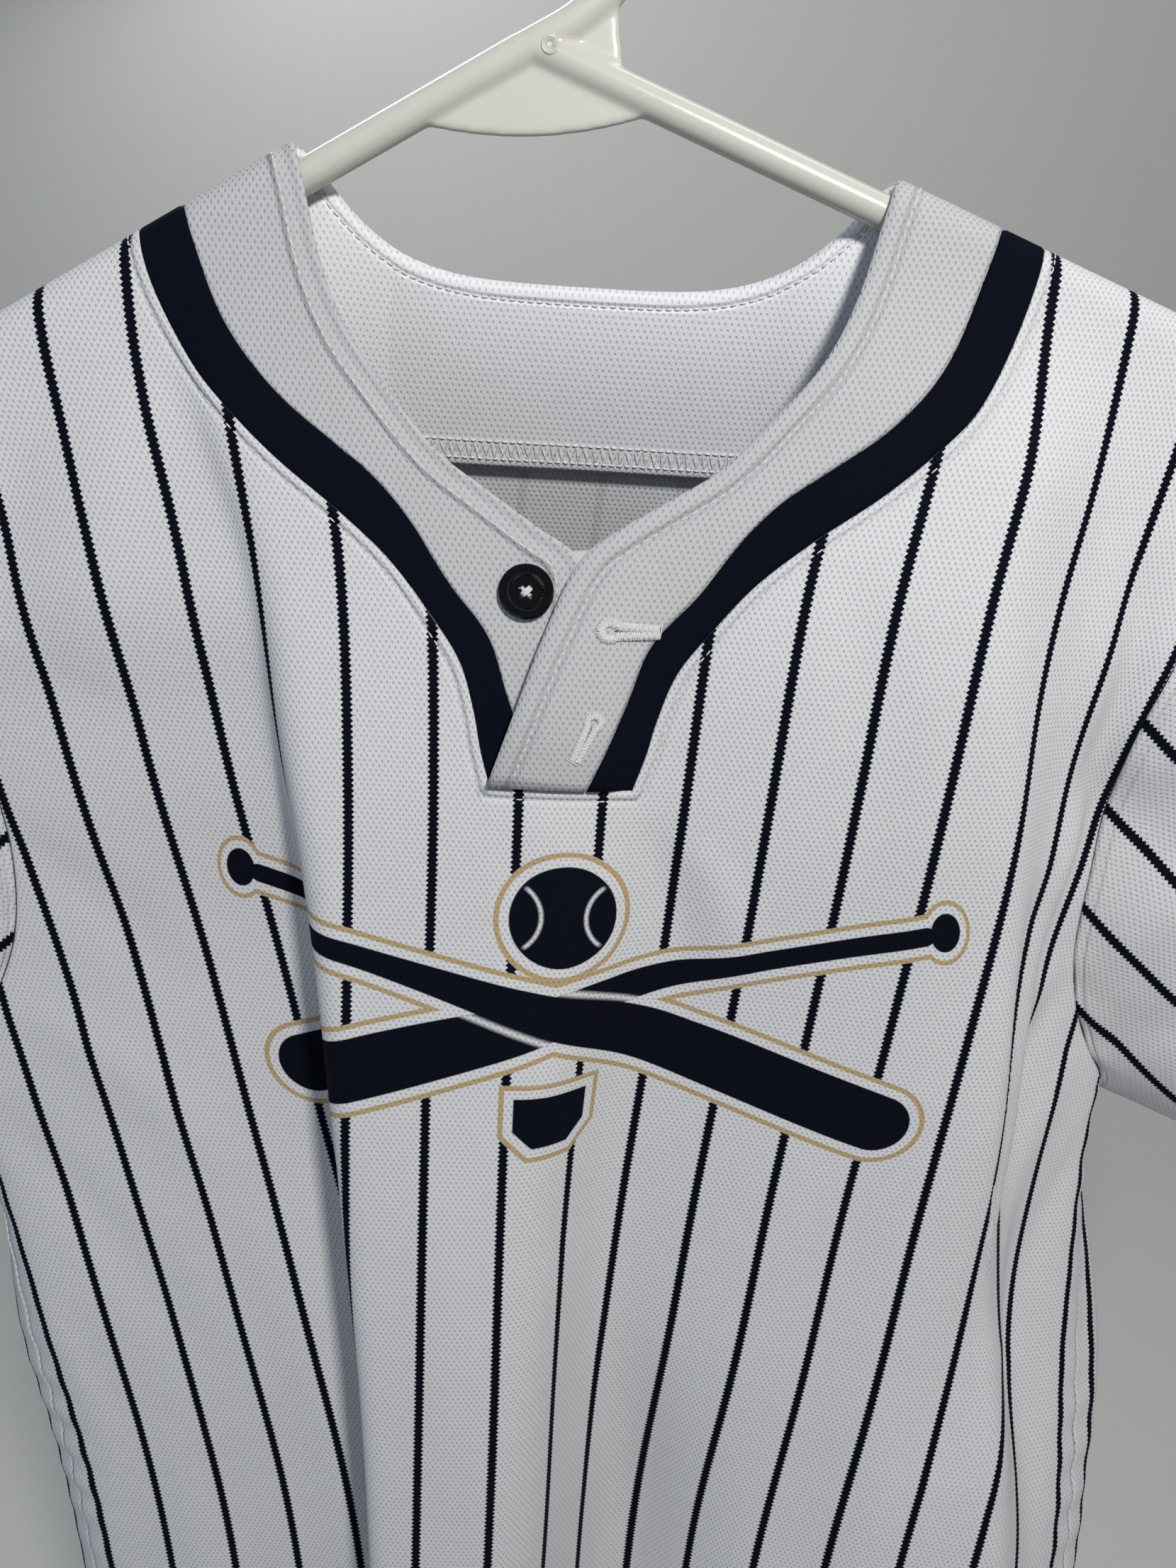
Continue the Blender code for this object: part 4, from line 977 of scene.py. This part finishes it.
def bat(s, t, turn):
    """Millimetres outside a bat's outline: a straight line through the middle with a radius that grows from
    the handle to the barrel, and a knob at the handle's end."""
    x, y = s - BAT_MIDDLE[0], t - BAT_MIDDLE[1]
    along = x * math.cos(turn) + y * math.sin(turn)
    off = abs(y * math.cos(turn) - x * math.sin(turn))
    half = BAT_LENGTH / 2
    radius = along.smooth(-half * 0.65, half * 0.55) * BAT_SWELL + BAT_GRIP
    body = length(off, (abs(along) - half + 6.0).most(0.0)) - radius
    return body.least(length(off, (along + half) * 1.6) - BAT_KNOB)


def emblem(s, t):
    """Shares of gold outline, white line and dark fill of the crossed bats, the ball above them and the home
    plate below: each is a distance outside its outline, and the least of them is the whole's."""
    first, second = bat(s, t, BAT_TURN), bat(s, t, math.pi - BAT_TURN)
    ball = length(s - BALL_S, t - BALL_T) - BALL_RADIUS
    plate = (abs(s - BALL_S) - PLATE_HALF).most(abs(t - PLATE_T) - PLATE_HIGH).most(
        (abs(s - BALL_S) + t - PLATE_T) * 0.7071 - PLATE_POINT)
    whole = first.least(second).least(ball).least(plate)
    crossing = (first.bump(1.6, 1.9) * second.smooth(0.2, -0.2)
                + ball.bump(1.6, 1.9) * first.least(second).smooth(0.2, -0.2))
    laces = [length(s - BALL_S + off, t - BALL_T).bump(LACE_BEND, 1.1) for off in (LACE_OFF, -LACE_OFF)]
    laces = (laces[0] + laces[1]) * ball.smooth(-0.5, -2.5)
    dark = whole.smooth(0.25, -0.25) * (1.0 - crossing.least(1.0)) * (1.0 - laces.least(1.0))
    return whole.smooth(4.9, 4.5), whole.smooth(3.2, 2.8), dark


def knit_paint(name, printed):
    """White mesh knit with printed pinstripes, and on the front the printed emblem. The print stays paler in
    the mesh's holes and shows faintly on the inside."""
    p = Paint(name)
    s, t = p.pattern()
    inside, rim, hem = (p.field(n) for n in ("inside", "rim", "hem"))
    place = p.place()
    hole = holes(s, t, *KNIT_HOLES)
    ink = stripes(s, t)
    colour = p.uneven(place, 60, WHITE, 0.975)
    if printed:
        gold, white, dark = emblem(s, t)
        ink = ink * (1.0 - gold)
        colour = p.mix(gold * (1.0 - inside), colour, GOLD)
        colour = p.mix(white * (1.0 - inside), colour, WHITE)
        ink = ink.most(dark)
    colour = p.mix(inside, colour, GREY)
    ink = ink * (1.0 - inside * (1 - SHOW_THROUGH))
    colour = p.mix(ink, colour, INK)
    # The mesh's holes away from the print are painted darker: painted shade of the dim inside seen through
    # them.
    colour = p.mix(hole * (0.32 - ink * 0.32), colour, dimmed(WHITE, 0.35))
    relief = hole * -0.22 + s.cos(0.875) * 0.02 + p.noise(place, 0.45) * 0.03
    sunk = rim.bump(PANEL_ROW, 1.5) + hem.bump(HEM_ROWS[0], 1.5) + hem.bump(HEM_ROWS[1], 1.5)
    relief = relief + sunk * -0.5
    relief = relief + (rim.smooth(PANEL_ROW + 0.1, 1.2) + hem.smooth(HEM_ROWS[1], 22.0) * 0.8) * 0.4
    return p.done(colour, 0.86 - ink * 0.05, relief)


def mesh_paint(name, tone, depth=1.0, turned=BAND_ROW):
    """White mesh of the bands and facing, with an edge turned in up to the stitching this far from it."""
    p = Paint(name)
    s, t = p.pattern()
    rim, sewn = p.field("rim"), p.field("sewn")
    place = p.place()
    hole = holes(s, t, *MESH_HOLES)
    # The holes are painted darker: painted shade of the dim inside seen through the mesh.
    colour = p.mix(hole * (0.30 * depth), p.uneven(place, 40, tone), dimmed(tone, 0.32))
    relief = hole * (-0.20 * depth) + p.noise(place, 0.45) * 0.035
    roll = turned / BAND_ROW
    relief = relief + rim.bump(turned, 1.9 * roll) * (-0.9 * roll)
    relief = relief + rim.bump(turned / 2, 3.2 * roll) * (0.55 * roll) + sewn.bump(0.0, 1.6) * -0.3
    return p.done(colour, 0.86, relief)


def insert_paint(name):
    """Near-black smooth knit, with a fine diagonal grain."""
    p = Paint(name)
    s, t = p.pattern()
    place = p.place()
    grain = (s + t * 0.6).cos(0.62) * (s - t * 0.6).cos(0.62)
    fleck = p.noise(place, 0.5).smooth(0.45, 0.8)
    colour = p.mix(fleck * 0.10, INK, (0.05, 0.055, 0.08))
    relief = grain * 0.035 + p.noise(place, 7.0) * 0.05 + p.field("sewn").bump(0.0, 1.5) * -0.3
    return p.done(colour, 0.9, relief)


def thread_paint(name, colour):
    """Sewing thread: two plies wound round it, faintly shiny."""
    p = Paint(name)
    x, y, z = p.place()
    ply = (x + z * 1.3 + y * 0.6).cos(0.42)
    return p.done(p.mix(ply * 0.25 + 0.25, colour, dimmed(colour, 0.72)), 0.5, ply * 0.04)


def gloss_paint(name, colour, rough, wear, recess=None):
    """Moulded plastic with a slight unevenness and fine handling marks in its gloss."""
    p = Paint(name, 0.5)
    place = p.place()
    marks = p.noise(place, 1.3, 4.0).smooth(0.2, 0.75)
    tone = p.mix(p.noise(place, 14.0) * 0.25 + 0.25, colour, dimmed(colour, 0.93))
    relief = p.noise(place, 6.0) * 0.03 + marks * 0.004
    if recess is not None:
        off = length(place[0] - recess[0], place[2] - recess[1])
        relief = relief + off.bump(2.0, 0.6) * 0.3 + off.smooth(0.5, 1.5) * 0.6
    return p.done(tone, marks * wear + rough, relief)


# Sewing, buttons, buttonholes and the hanger

THREAD = 0.27              # radius of the sewing thread
RING = 6                   # sides of a thread
OFF_AXIS = [0.31, -0.52, 0.79]         # a direction that no thread runs in
PANEL_LIFT, BAND_LIFT = 0.42, 0.55     # of a row of stitches over the middle of its cloth
FINE_THREAD, HEM_THREAD = 0.23, 0.24


def resampled(curve, pitch):
    """Points along a polyline at an even pitch."""
    steps = travelled(curve)
    spots = np.linspace(0, steps[-1], max(int(steps[-1] / pitch), 1) + 1)
    return np.stack([np.interp(spots, steps, curve[:, k]) for k in range(curve.shape[1])], -1)


def rods(paths, radii):
    """Vertices and quads of many rods at once: paths is (rods, stations, 3), and radii has the radius at
    each station, close to nothing at the ends."""
    way = unit(np.gradient(paths, axis=1))
    side = unit(np.cross(way, OFF_AXIS))
    third = np.cross(way, side)
    a = 2 * np.pi * np.arange(RING) / RING
    ring = side[:, :, None] * np.cos(a)[:, None] + third[:, :, None] * np.sin(a)[:, None]
    points = paths[:, :, None] + ring * np.broadcast_to(radii, paths.shape[:2])[..., None, None]
    count, stations = paths.shape[:2]
    index = np.arange(count * stations * RING).reshape(count, stations, RING)
    turned = np.roll(index, -1, 2)
    walls = np.stack([index[:, :-1], turned[:, :-1], turned[:, 1:], index[:, 1:]], -1).reshape(-1, 4)
    return points.reshape(-1, 3), walls


def dive(face, start, way, lift, radius, side, share):
    """Stations of stitches that rise from the cloth, run along their way and go down into it again."""
    stations = []
    for c, up in ((0.0, -1.0), (0.1, -0.1), (0.5, 0.45), (0.9, -0.1), (1.0, -1.0)):
        spot = start + way * (0.5 + (c - 0.5) * share)
        stations.append(face(spot[:, 0], spot[:, 1], side * (lift + radius * up)))
    return np.stack(stations, 1)


def stitches(face, curve, lift, pitch, share=0.76, radius=THREAD, side=1):
    """A row of stitches along a curve in the pattern, side -1 on the inside of the cloth."""
    spots = resampled(curve, pitch)
    way = np.diff(spots, axis=0)
    turn = square_to(way) * (0.06 * np.sin(np.arange(len(way)) * 2.4))[:, None]
    paths = dive(face, spots[:-1] - turn / 2, way + turn, lift, radius, side, share)
    return rods(paths, radius * np.array([0.15, 0.85, 1.0, 0.85, 0.15]))


def cross_stitches(face, curve, lift, pitch, wide, radius, side=1, slant=0.0):
    """Short stitches across a curve, close together, as in satin stitch or a zigzag."""
    spots = resampled(curve, pitch)
    mid = (spots[1:] + spots[:-1]) / 2
    way = unit(np.diff(spots, axis=0))
    k = np.arange(len(mid))
    across = square_to(way) + way * (slant * (-1.0) ** k + 0.12 * np.sin(k * 1.9))[:, None]
    across = across * (wide * (1 + 0.12 * np.sin(k * 2.7)))[:, None]
    paths = dive(face, mid - across / 2, across, lift, radius, side, 1.0)
    return rods(paths, radius * np.array([0.3, 0.9, 1.0, 0.9, 0.3]))


def sew(name, rows, paint):
    """One thread object from many rows of rods."""
    starts = np.cumsum([0] + [len(points) for points, _ in rows])
    faces = [quads + start for (_, quads), start in zip(rows, starts)]
    obj = write_mesh(name, np.concatenate([points for points, _ in rows]), np.concatenate(faces), paint)
    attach(obj, "root")


def left_face(s, t, out=0.0):
    """The surface of the wearer's left neck pieces, which lap over the right ones."""
    edge_s = np.interp(t, station("edge_t", FINE_NECK), station("edge_s", FINE_NECK))
    return front_face(s, t, lap(s, t, edge_s) + out)


def level_row(half, t, points=FINE_BACK):
    """A line straight across the pattern at this t."""
    return np.stack([half * points, 0 * points + t], -1)


def neck_rows():
    """Topstitching of the neck: along both free edges, round the inserts and under the placket's foot, and
    on the inside of the back along its edge and the facing's foot."""
    rows = []
    down = FINE_NECK[FINE_NECK > 0.02]
    for sign, name, face in ((1, "free_s", left_face), (-1, "under_s", front_face)):
        free = moved(neck_edge(sign, name, down), sign * BAND_ROW)
        rows.append(stitches(face, free[free[:, 1] < PLACKET_FOOT - 2], BAND_LIFT, 2.7))
        outer = moved(neck_edge(sign, "edge_s", down), sign * PANEL_ROW)
        outer = outer[outer[:, 1] < PLACKET_FOOT + 3]
        rows.append(stitches(front_face, outer, PANEL_LIFT, 2.6, radius=FINE_THREAD))
    foot_s = station("edge_s", np.array([len(NECK_STATIONS) - 1.0]))[0] + PANEL_ROW
    foot = np.array([[-foot_s, PLACKET_FOOT + 3.4], [foot_s, PLACKET_FOOT + 3.4]])
    rows.append(stitches(front_face, foot, PANEL_LIFT, 2.6, radius=FINE_THREAD))
    behind = moved(back_curve("free", FINE_BACK), -FACING_ROW)[6:-6]
    rows.append(stitches(back_face, behind, FACING_INSET + 0.70, 2.6, side=-1))
    half = NECK_HALF_BACK - 4
    for rise, lift in ((3.0, 4.28), (8.2, 4.14)):
        rows.append(stitches(back_face, level_row(half, FACING_FOOT - rise), lift, 2.4, side=-1, radius=0.30))
    rows.append(cross_stitches(back_face, level_row(half, FACING_FOOT - 5.6), 4.14, 1.3, 5.0, 0.18, side=-1,
                               slant=0.35))
    return rows


def body_rows():
    """Stitching of the body: the shoulder seams behind, and twin rows round the hem."""
    rows = []
    for face in (front_face, back_face):
        for rise in HEM_ROWS:
            line = level_row(1.0, BODY_LENGTH - rise, np.linspace(4 - CHEST_HALF, CHEST_HALF - 4, 240))
            rows.append(stitches(face, line, PANEL_LIFT, 3.0, radius=HEM_THREAD))
    for sign in (-1, 1):
        s = sign * np.linspace(NECK_HALF_BACK + 44, SHOULDER_BACK - 3, 40)
        seam = np.stack([s, back_shoulder_t(s) + 13], -1)
        rows.append(stitches(back_face, seam, PANEL_LIFT, 2.8, radius=HEM_THREAD))
    return rows


# Each buttonhole's eye and tail as (s, t), its eye's radius, and the width of its satin stitch
KEYHOLES = (((9.9, 120.3), (23.4, 120.0), 2.4, 2.5), ((7.4, 146.4), (2.7, 158.3), 2.0, 2.0))


def keyhole(head, tail, wide):
    """A keyhole's outline in the pattern, from its tail round its eye and back: head and tail are (s, t)."""
    head, tail = np.array(head, float), np.array(tail, float)
    way = unit(tail - head)
    across = square_to(way)
    a = np.linspace(-0.80 * np.pi, 0.80 * np.pi, 22)
    eye = head + wide * (np.cos(a + np.pi)[:, None] * way + np.sin(a + np.pi)[:, None] * across)
    return np.concatenate([[tail - across * 0.75], eye[::-1], [tail + across * 0.75]])


def buttonholes():
    """Satin stitches round the two keyholes, a bar across each tail, and a dark rod in each cut between them,
    painted shade of the slit.
    """
    rows, cuts = [], []
    for head, tail, wide, thick in KEYHOLES:
        outline = keyhole(head, tail, wide)
        for lift, pitch in ((0.80, 0.40), (1.15, 0.44)):
            rows.append(cross_stitches(left_face, outline, lift, pitch, thick, 0.26))
        head, tail = np.array(head), np.array(tail)
        bar = np.stack([tail - (tail - head) * 0.05, tail + (tail - head) * 0.06])
        rows.append(cross_stitches(left_face, bar, 0.85, 0.4, 4.2, 0.22))
        # A dark rod along the cut: painted shade of the open slit.
        cuts.append(stitches(left_face, np.stack([head, tail]), 0.62, 99.0, share=0.92, radius=0.26))
    return rows, cuts


def button_threads():
    """The sewing through the open button's four holes: strands in a cross that bulge over its middle."""
    strands = []
    for turn, count in ((0.25 * math.pi, 3), (0.75 * math.pi, 5)):
        for k in range(count):
            off = (k - (count - 1) / 2) * 0.30
            ends = BUTTON_HOLE_REACH * np.array([math.cos(turn), math.sin(turn)])
            aside = off * np.array([-math.sin(turn), math.cos(turn)])
            c = np.linspace(-1, 1, 9)
            s, t = (np.array(TOP_BUTTON) + ends * c[:, None] + aside).T
            bulge = (0.55 + 0.28 * (count - 3)) * (1 - c**4) - 0.9 * (abs(c) > 0.99)
            strands.append(front_face(s, t, BUTTON_SEAT + bulge - abs(off) * 0.15))
    return [rods(np.stack(strands), 0.19)]


def arc(centre, radius, start, end, n):
    """Points of an arc in the hanger's plane, from one angle in degrees to another in n steps."""
    a = np.radians(np.linspace(start, end, n + 1))
    return [(centre[0] + radius * math.cos(x), centre[1] + radius * math.sin(x)) for x in a]


def tilted(points):
    """Turned about the apex by the hanger's tilt."""
    cos, sin = math.cos(HANGER_TILT), math.sin(HANGER_TILT)
    return [(x * cos - (z - APEX_Z) * sin, APEX_Z + x * sin + (z - APEX_Z) * cos) for x, z in points]


def hanger_loop():
    """Arms, rounded ends and lower bar as one closed line, from the apex round by the +X end."""
    slope = math.degrees(ARM_SLOPE)
    far = (APEX_Z - BAR_Z) / math.tan(ARM_SLOPE)
    centre_x = far - END_RADIUS / math.tan(ARM_SLOPE / 2)
    centre_z = BAR_Z + END_RADIUS
    right = arc((centre_x, centre_z), END_RADIUS, 90 - slope, -90, 32)
    left = [(-x, z) for x, z in right[::-1]]
    tip = [(-3, APEX_Z - 3 * math.tan(ARM_SLOPE)), (0, APEX_Z - 0.5), (3, APEX_Z - 3 * math.tan(ARM_SLOPE))]
    return tilted(right + left + tip)


def hook_line():
    """From inside the apex, on in line with the -X arm, then up and over the rod."""
    stem = np.array([(-14, -98.4), (0, -91.6), (12, -85.6), (22, -77.5), (27.5, -66), (28.5, -52), (26, -36)])
    ks = np.arange(len(stem))
    fine = np.linspace(0, len(stem) - 1, 7 * len(stem))
    stem = list(zip(through(fine, ks, stem[:, 0]), through(fine, ks, stem[:, 1])))
    return stem + arc((0, TUBE - HOOK_RADIUS), HOOK_RADIUS, -4, 205, 60)


def pipe(line, closed):
    """A round tube along a line in the hanger's plane, as points and quads, its ends drawn to a dome."""
    p = np.array(line, float)
    if closed:
        way = np.roll(p, -1, 0) - np.roll(p, 1, 0)
        radii = np.full(len(p), TUBE)
    else:
        first, last = unit(p[0] - p[1]), unit(p[-1] - p[-2])
        dome = np.array([0.35, 0.65, 0.87, 0.98])
        reach = TUBE * dome[:, None]
        cap = TUBE * np.sqrt(1 - dome**2)
        radii = np.concatenate([cap[::-1], np.full(len(p), TUBE), cap])
        p = np.concatenate([p[0] + first * reach[::-1], p, p[-1] + last * reach])
        way = np.gradient(p, axis=0)
    way = unit(way)
    a = 2 * np.pi * np.arange(TUBE_SIDES) / TUBE_SIDES
    side = np.stack([-way[:, 1], 0 * way[:, 0], way[:, 0]], -1)
    ring = side[:, None] * np.cos(a)[:, None] + np.array([0, 1.0, 0]) * np.sin(a)[:, None]
    points = np.stack([p[:, 0], 0 * p[:, 0], p[:, 1]], -1)[:, None] + ring * radii[:, None, None]
    index = np.arange(len(p) * TUBE_SIDES).reshape(len(p), TUBE_SIDES)
    after = np.roll(index, -1, 0) if closed else index[1:]
    here = index if closed else index[:-1]
    walls = np.stack([here, np.roll(here, -1, 1), np.roll(after, -1, 1), after], -1).reshape(-1, 4)
    caps = [] if closed else [index[0][::-1], index[-1]]
    return points.reshape(-1, 3), [list(q) for q in walls] + [list(q) for q in caps]


def slab(outline):
    """A plate in the hanger's plane from its outline."""
    n = len(outline)
    flat = np.array(outline, float)
    points = np.concatenate([np.stack([flat[:, 0], np.full(n, y), flat[:, 1]], -1)
                             for y in (-GUSSET_THICK / 2, GUSSET_THICK / 2)])
    faces = [list(range(n))[::-1], list(range(n, 2 * n))]
    faces += [[k, (k + 1) % n, n + (k + 1) % n, n + k] for k in range(n)]
    return points, faces


def hanger(paint):
    """The hanger's tubes and plates grown together: joined, remeshed finely and smoothed at the joints."""
    slope = math.tan(ARM_SLOPE)
    gusset = [(0, APEX_Z - 1), (-GUSSET_HALF, APEX_Z - GUSSET_HALF * slope + 1.5)]
    for share in np.linspace(-1, 1, 33)[1:-1]:
        gusset.append((share * (GUSSET_HALF - 1), APEX_Z - GUSSET_DROP - GUSSET_SAG * (1 - share**2)))
    gusset.append((GUSSET_HALF, APEX_Z - GUSSET_HALF * slope + 1.5))
    web = [(2, APEX_Z), (24, APEX_Z - 24 * slope), (23.2, -91), (23.0, -84), (22, -76)]
    parts = [pipe(hanger_loop(), True), pipe(hook_line(), False), slab(tilted(gusset)), slab(web)]
    faces, count = [], 0
    for points, polygons in parts:
        faces += [[k + count for k in polygon] for polygon in polygons]
        count += len(points)
    rough = bpy.data.meshes.new("hanger_rough")
    rough.from_pydata((np.concatenate([points for points, _ in parts]) * MM).tolist(), [], faces)
    helper = placed("hanger_rough", rough, paint)
    grown = helper.modifiers.new("grown", "REMESH")
    grown.mode = "VOXEL"
    grown.voxel_size = 0.8 * MM
    eased = helper.modifiers.new("eased", "SMOOTH")
    eased.iterations = 5
    eased.factor = 0.5
    mesh = bpy.data.meshes.new_from_object(helper.evaluated_get(bpy.context.evaluated_depsgraph_get()))
    bpy.data.objects.remove(helper, do_unlink=True)
    mesh.name = "smooth_hanger"
    mesh.materials.clear()
    mesh.shade_smooth()
    obj = placed("smooth_hanger", mesh, paint)
    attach(obj, "root")
    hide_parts("hanger")


# The whole

front_knit = knit_paint("pinstripe_knit_front", True)
plain_knit = knit_paint("pinstripe_knit_plain", False)
# One white mesh in two tones, partly from the facing's double layer and partly painted: painted shade in the
# bands' darker tone and painted light in the facing's brighter one.
band_mesh_painted_shade = mesh_paint("band_mesh", (0.57, 0.575, 0.59))
facing_mesh_painted_light = mesh_paint("facing_mesh", (0.88, 0.89, 0.925), 0.8, FACING_ROW)
dark_knit = insert_paint("dark_insert_knit")
white_thread = thread_paint("white_thread", (0.93, 0.93, 0.93))
# Dark paint for the buttonholes' cuts: painted shade of the open slits.
slit_shade_paint = thread_paint("cut_shade", (0.20, 0.20, 0.22))
plastic = gloss_paint("hanger_plastic_smooth", (0.66, 0.655, 0.59), 0.20, 0.08, recess=(4.7, -92.6))
button_gloss = gloss_paint("button_gloss_black", (0.003, 0.003, 0.004), 0.06, 0.04)

panel_cloth("cloth_front", "front_panel", front_knit, front_neck(), SHOULDER_FRONT, front_shoulder_t,
            44, front_face)
panel_cloth("cloth_back", "back_panel", plain_knit, back_neck(), SHOULDER_BACK, back_shoulder_t,
            40, back_face, flip=True)
neck_cloth({"band": band_mesh_painted_shade, "insert": dark_knit})
facing_cloth(facing_mesh_painted_light)
sleeve_cloth(1, "cloth_sleeve_left", "sleeve_left", plain_knit)
sleeve_cloth(-1, "cloth_sleeve_right", "sleeve_right", plain_knit)
hanger(plastic)
sew("thread_neck", neck_rows(), white_thread)
sew("thread_body", body_rows(), white_thread)
satin, cuts = buttonholes()
sew("thread_buttonholes", satin, white_thread)
sew("thread_button", button_threads(), white_thread)
sew("buttonhole_cuts", cuts, slit_shade_paint)
for obj in bpy.data.objects:
    if obj.type == "MESH" and obj.name.startswith("button_"):
        obj.data.materials.clear()
        obj.data.materials.append(button_gloss)


# The room and the camera

CAMERA_SPOT = (11, -350, -200)    # millimetres
CAMERA_PITCH = math.radians(14.9)
CAMERA_ROLL = math.atan2(116.0, 6244.0)
camera = bpy.data.objects.new("camera", bpy.data.cameras.new("camera"))
camera.data.sensor_width = 36.0
camera.data.lens = 36.0 * 1661 / 2212
camera.data.clip_start = 0.01
camera.data.clip_end = 50
ahead = np.array([0, math.cos(CAMERA_PITCH), -math.sin(CAMERA_PITCH)])
across = np.array([1.0, 0, 0])
up = np.cross(across, ahead)
right = math.cos(CAMERA_ROLL) * across - math.sin(CAMERA_ROLL) * up
above = math.sin(CAMERA_ROLL) * across + math.cos(CAMERA_ROLL) * up
columns = np.stack([right, above, -ahead, np.array(CAMERA_SPOT) * MM], -1)
camera.matrix_world = Matrix(np.vstack([columns, [0, 0, 0, 1]]).tolist())
bpy.context.scene.collection.objects.link(camera)
bpy.context.scene.camera = camera

FLOOR_Z, WALL_Y = -0.86, 1.5      # metres


def room_piece(name, corners, paint_name, colour):
    """A flat pale piece of the room, its paint faintly uneven."""
    p = Paint(paint_name)
    place = p.place()
    tone = p.mix(p.noise(place, 300.0) * 0.3 + 0.4, colour, dimmed(colour, 0.95))
    mesh = bpy.data.meshes.new(name)
    mesh.from_pydata(corners, [], [(0, 1, 2, 3)])
    return placed(name, mesh, p.done(tone, 0.75, p.noise(place, 2.5) * 0.02))


floor = room_piece("floor", [(-3, -3, FLOOR_Z), (3, -3, FLOOR_Z), (3, 3, FLOOR_Z), (-3, 3, FLOOR_Z)],
                   "pale_floor", (0.62, 0.62, 0.60))
wall = room_piece("wall", [(-3, WALL_Y, FLOOR_Z), (3, WALL_Y, FLOOR_Z), (3, WALL_Y, 2), (-3, WALL_Y, 2)],
                  "pale_wall", (0.80, 0.80, 0.76))

# Each light's place, what it aims at, its size, power and colour, in metres and watts
for name, spot, aim, size, power, colour in (
        ("key_right", (0.27, -0.72, 0.18), (0.04, 0, -0.32), 0.10, 6.4, (1.0, 0.975, 0.94)),
        ("fill_left", (-1.1, -0.9, 0.1), (-0.1, 0, -0.4), 0.7, 1.9, (0.54, 0.73, 1.0)),
        ("wall_wash", (0.6, 0.3, 1.2), (0.3, 1.5, -0.2), 0.6, 4, (1.0, 0.99, 0.95)),
        ("back_soft", (-0.4, 1.1, 0.9), (0, 0.05, -0.45), 0.9, 9, (0.95, 0.97, 1.0))):
    light = bpy.data.objects.new(name, bpy.data.lights.new(name, "AREA"))
    light.data.energy = power
    light.data.size = size
    light.data.color = colour
    way = Vector(aim) - Vector(spot)
    light.matrix_world = Matrix.Translation(spot) @ way.to_track_quat("-Z", "Y").to_matrix().to_4x4()
    bpy.context.scene.collection.objects.link(light)
bpy.context.scene.view_settings.view_transform = "Standard"
world = bpy.data.worlds.new("room")
bpy.context.scene.world = world
world.use_nodes = True
world.node_tree.nodes["Background"].inputs["Color"].default_value = (0.78, 0.86, 1.0, 1)
world.node_tree.nodes["Background"].inputs["Strength"].default_value = 0.14
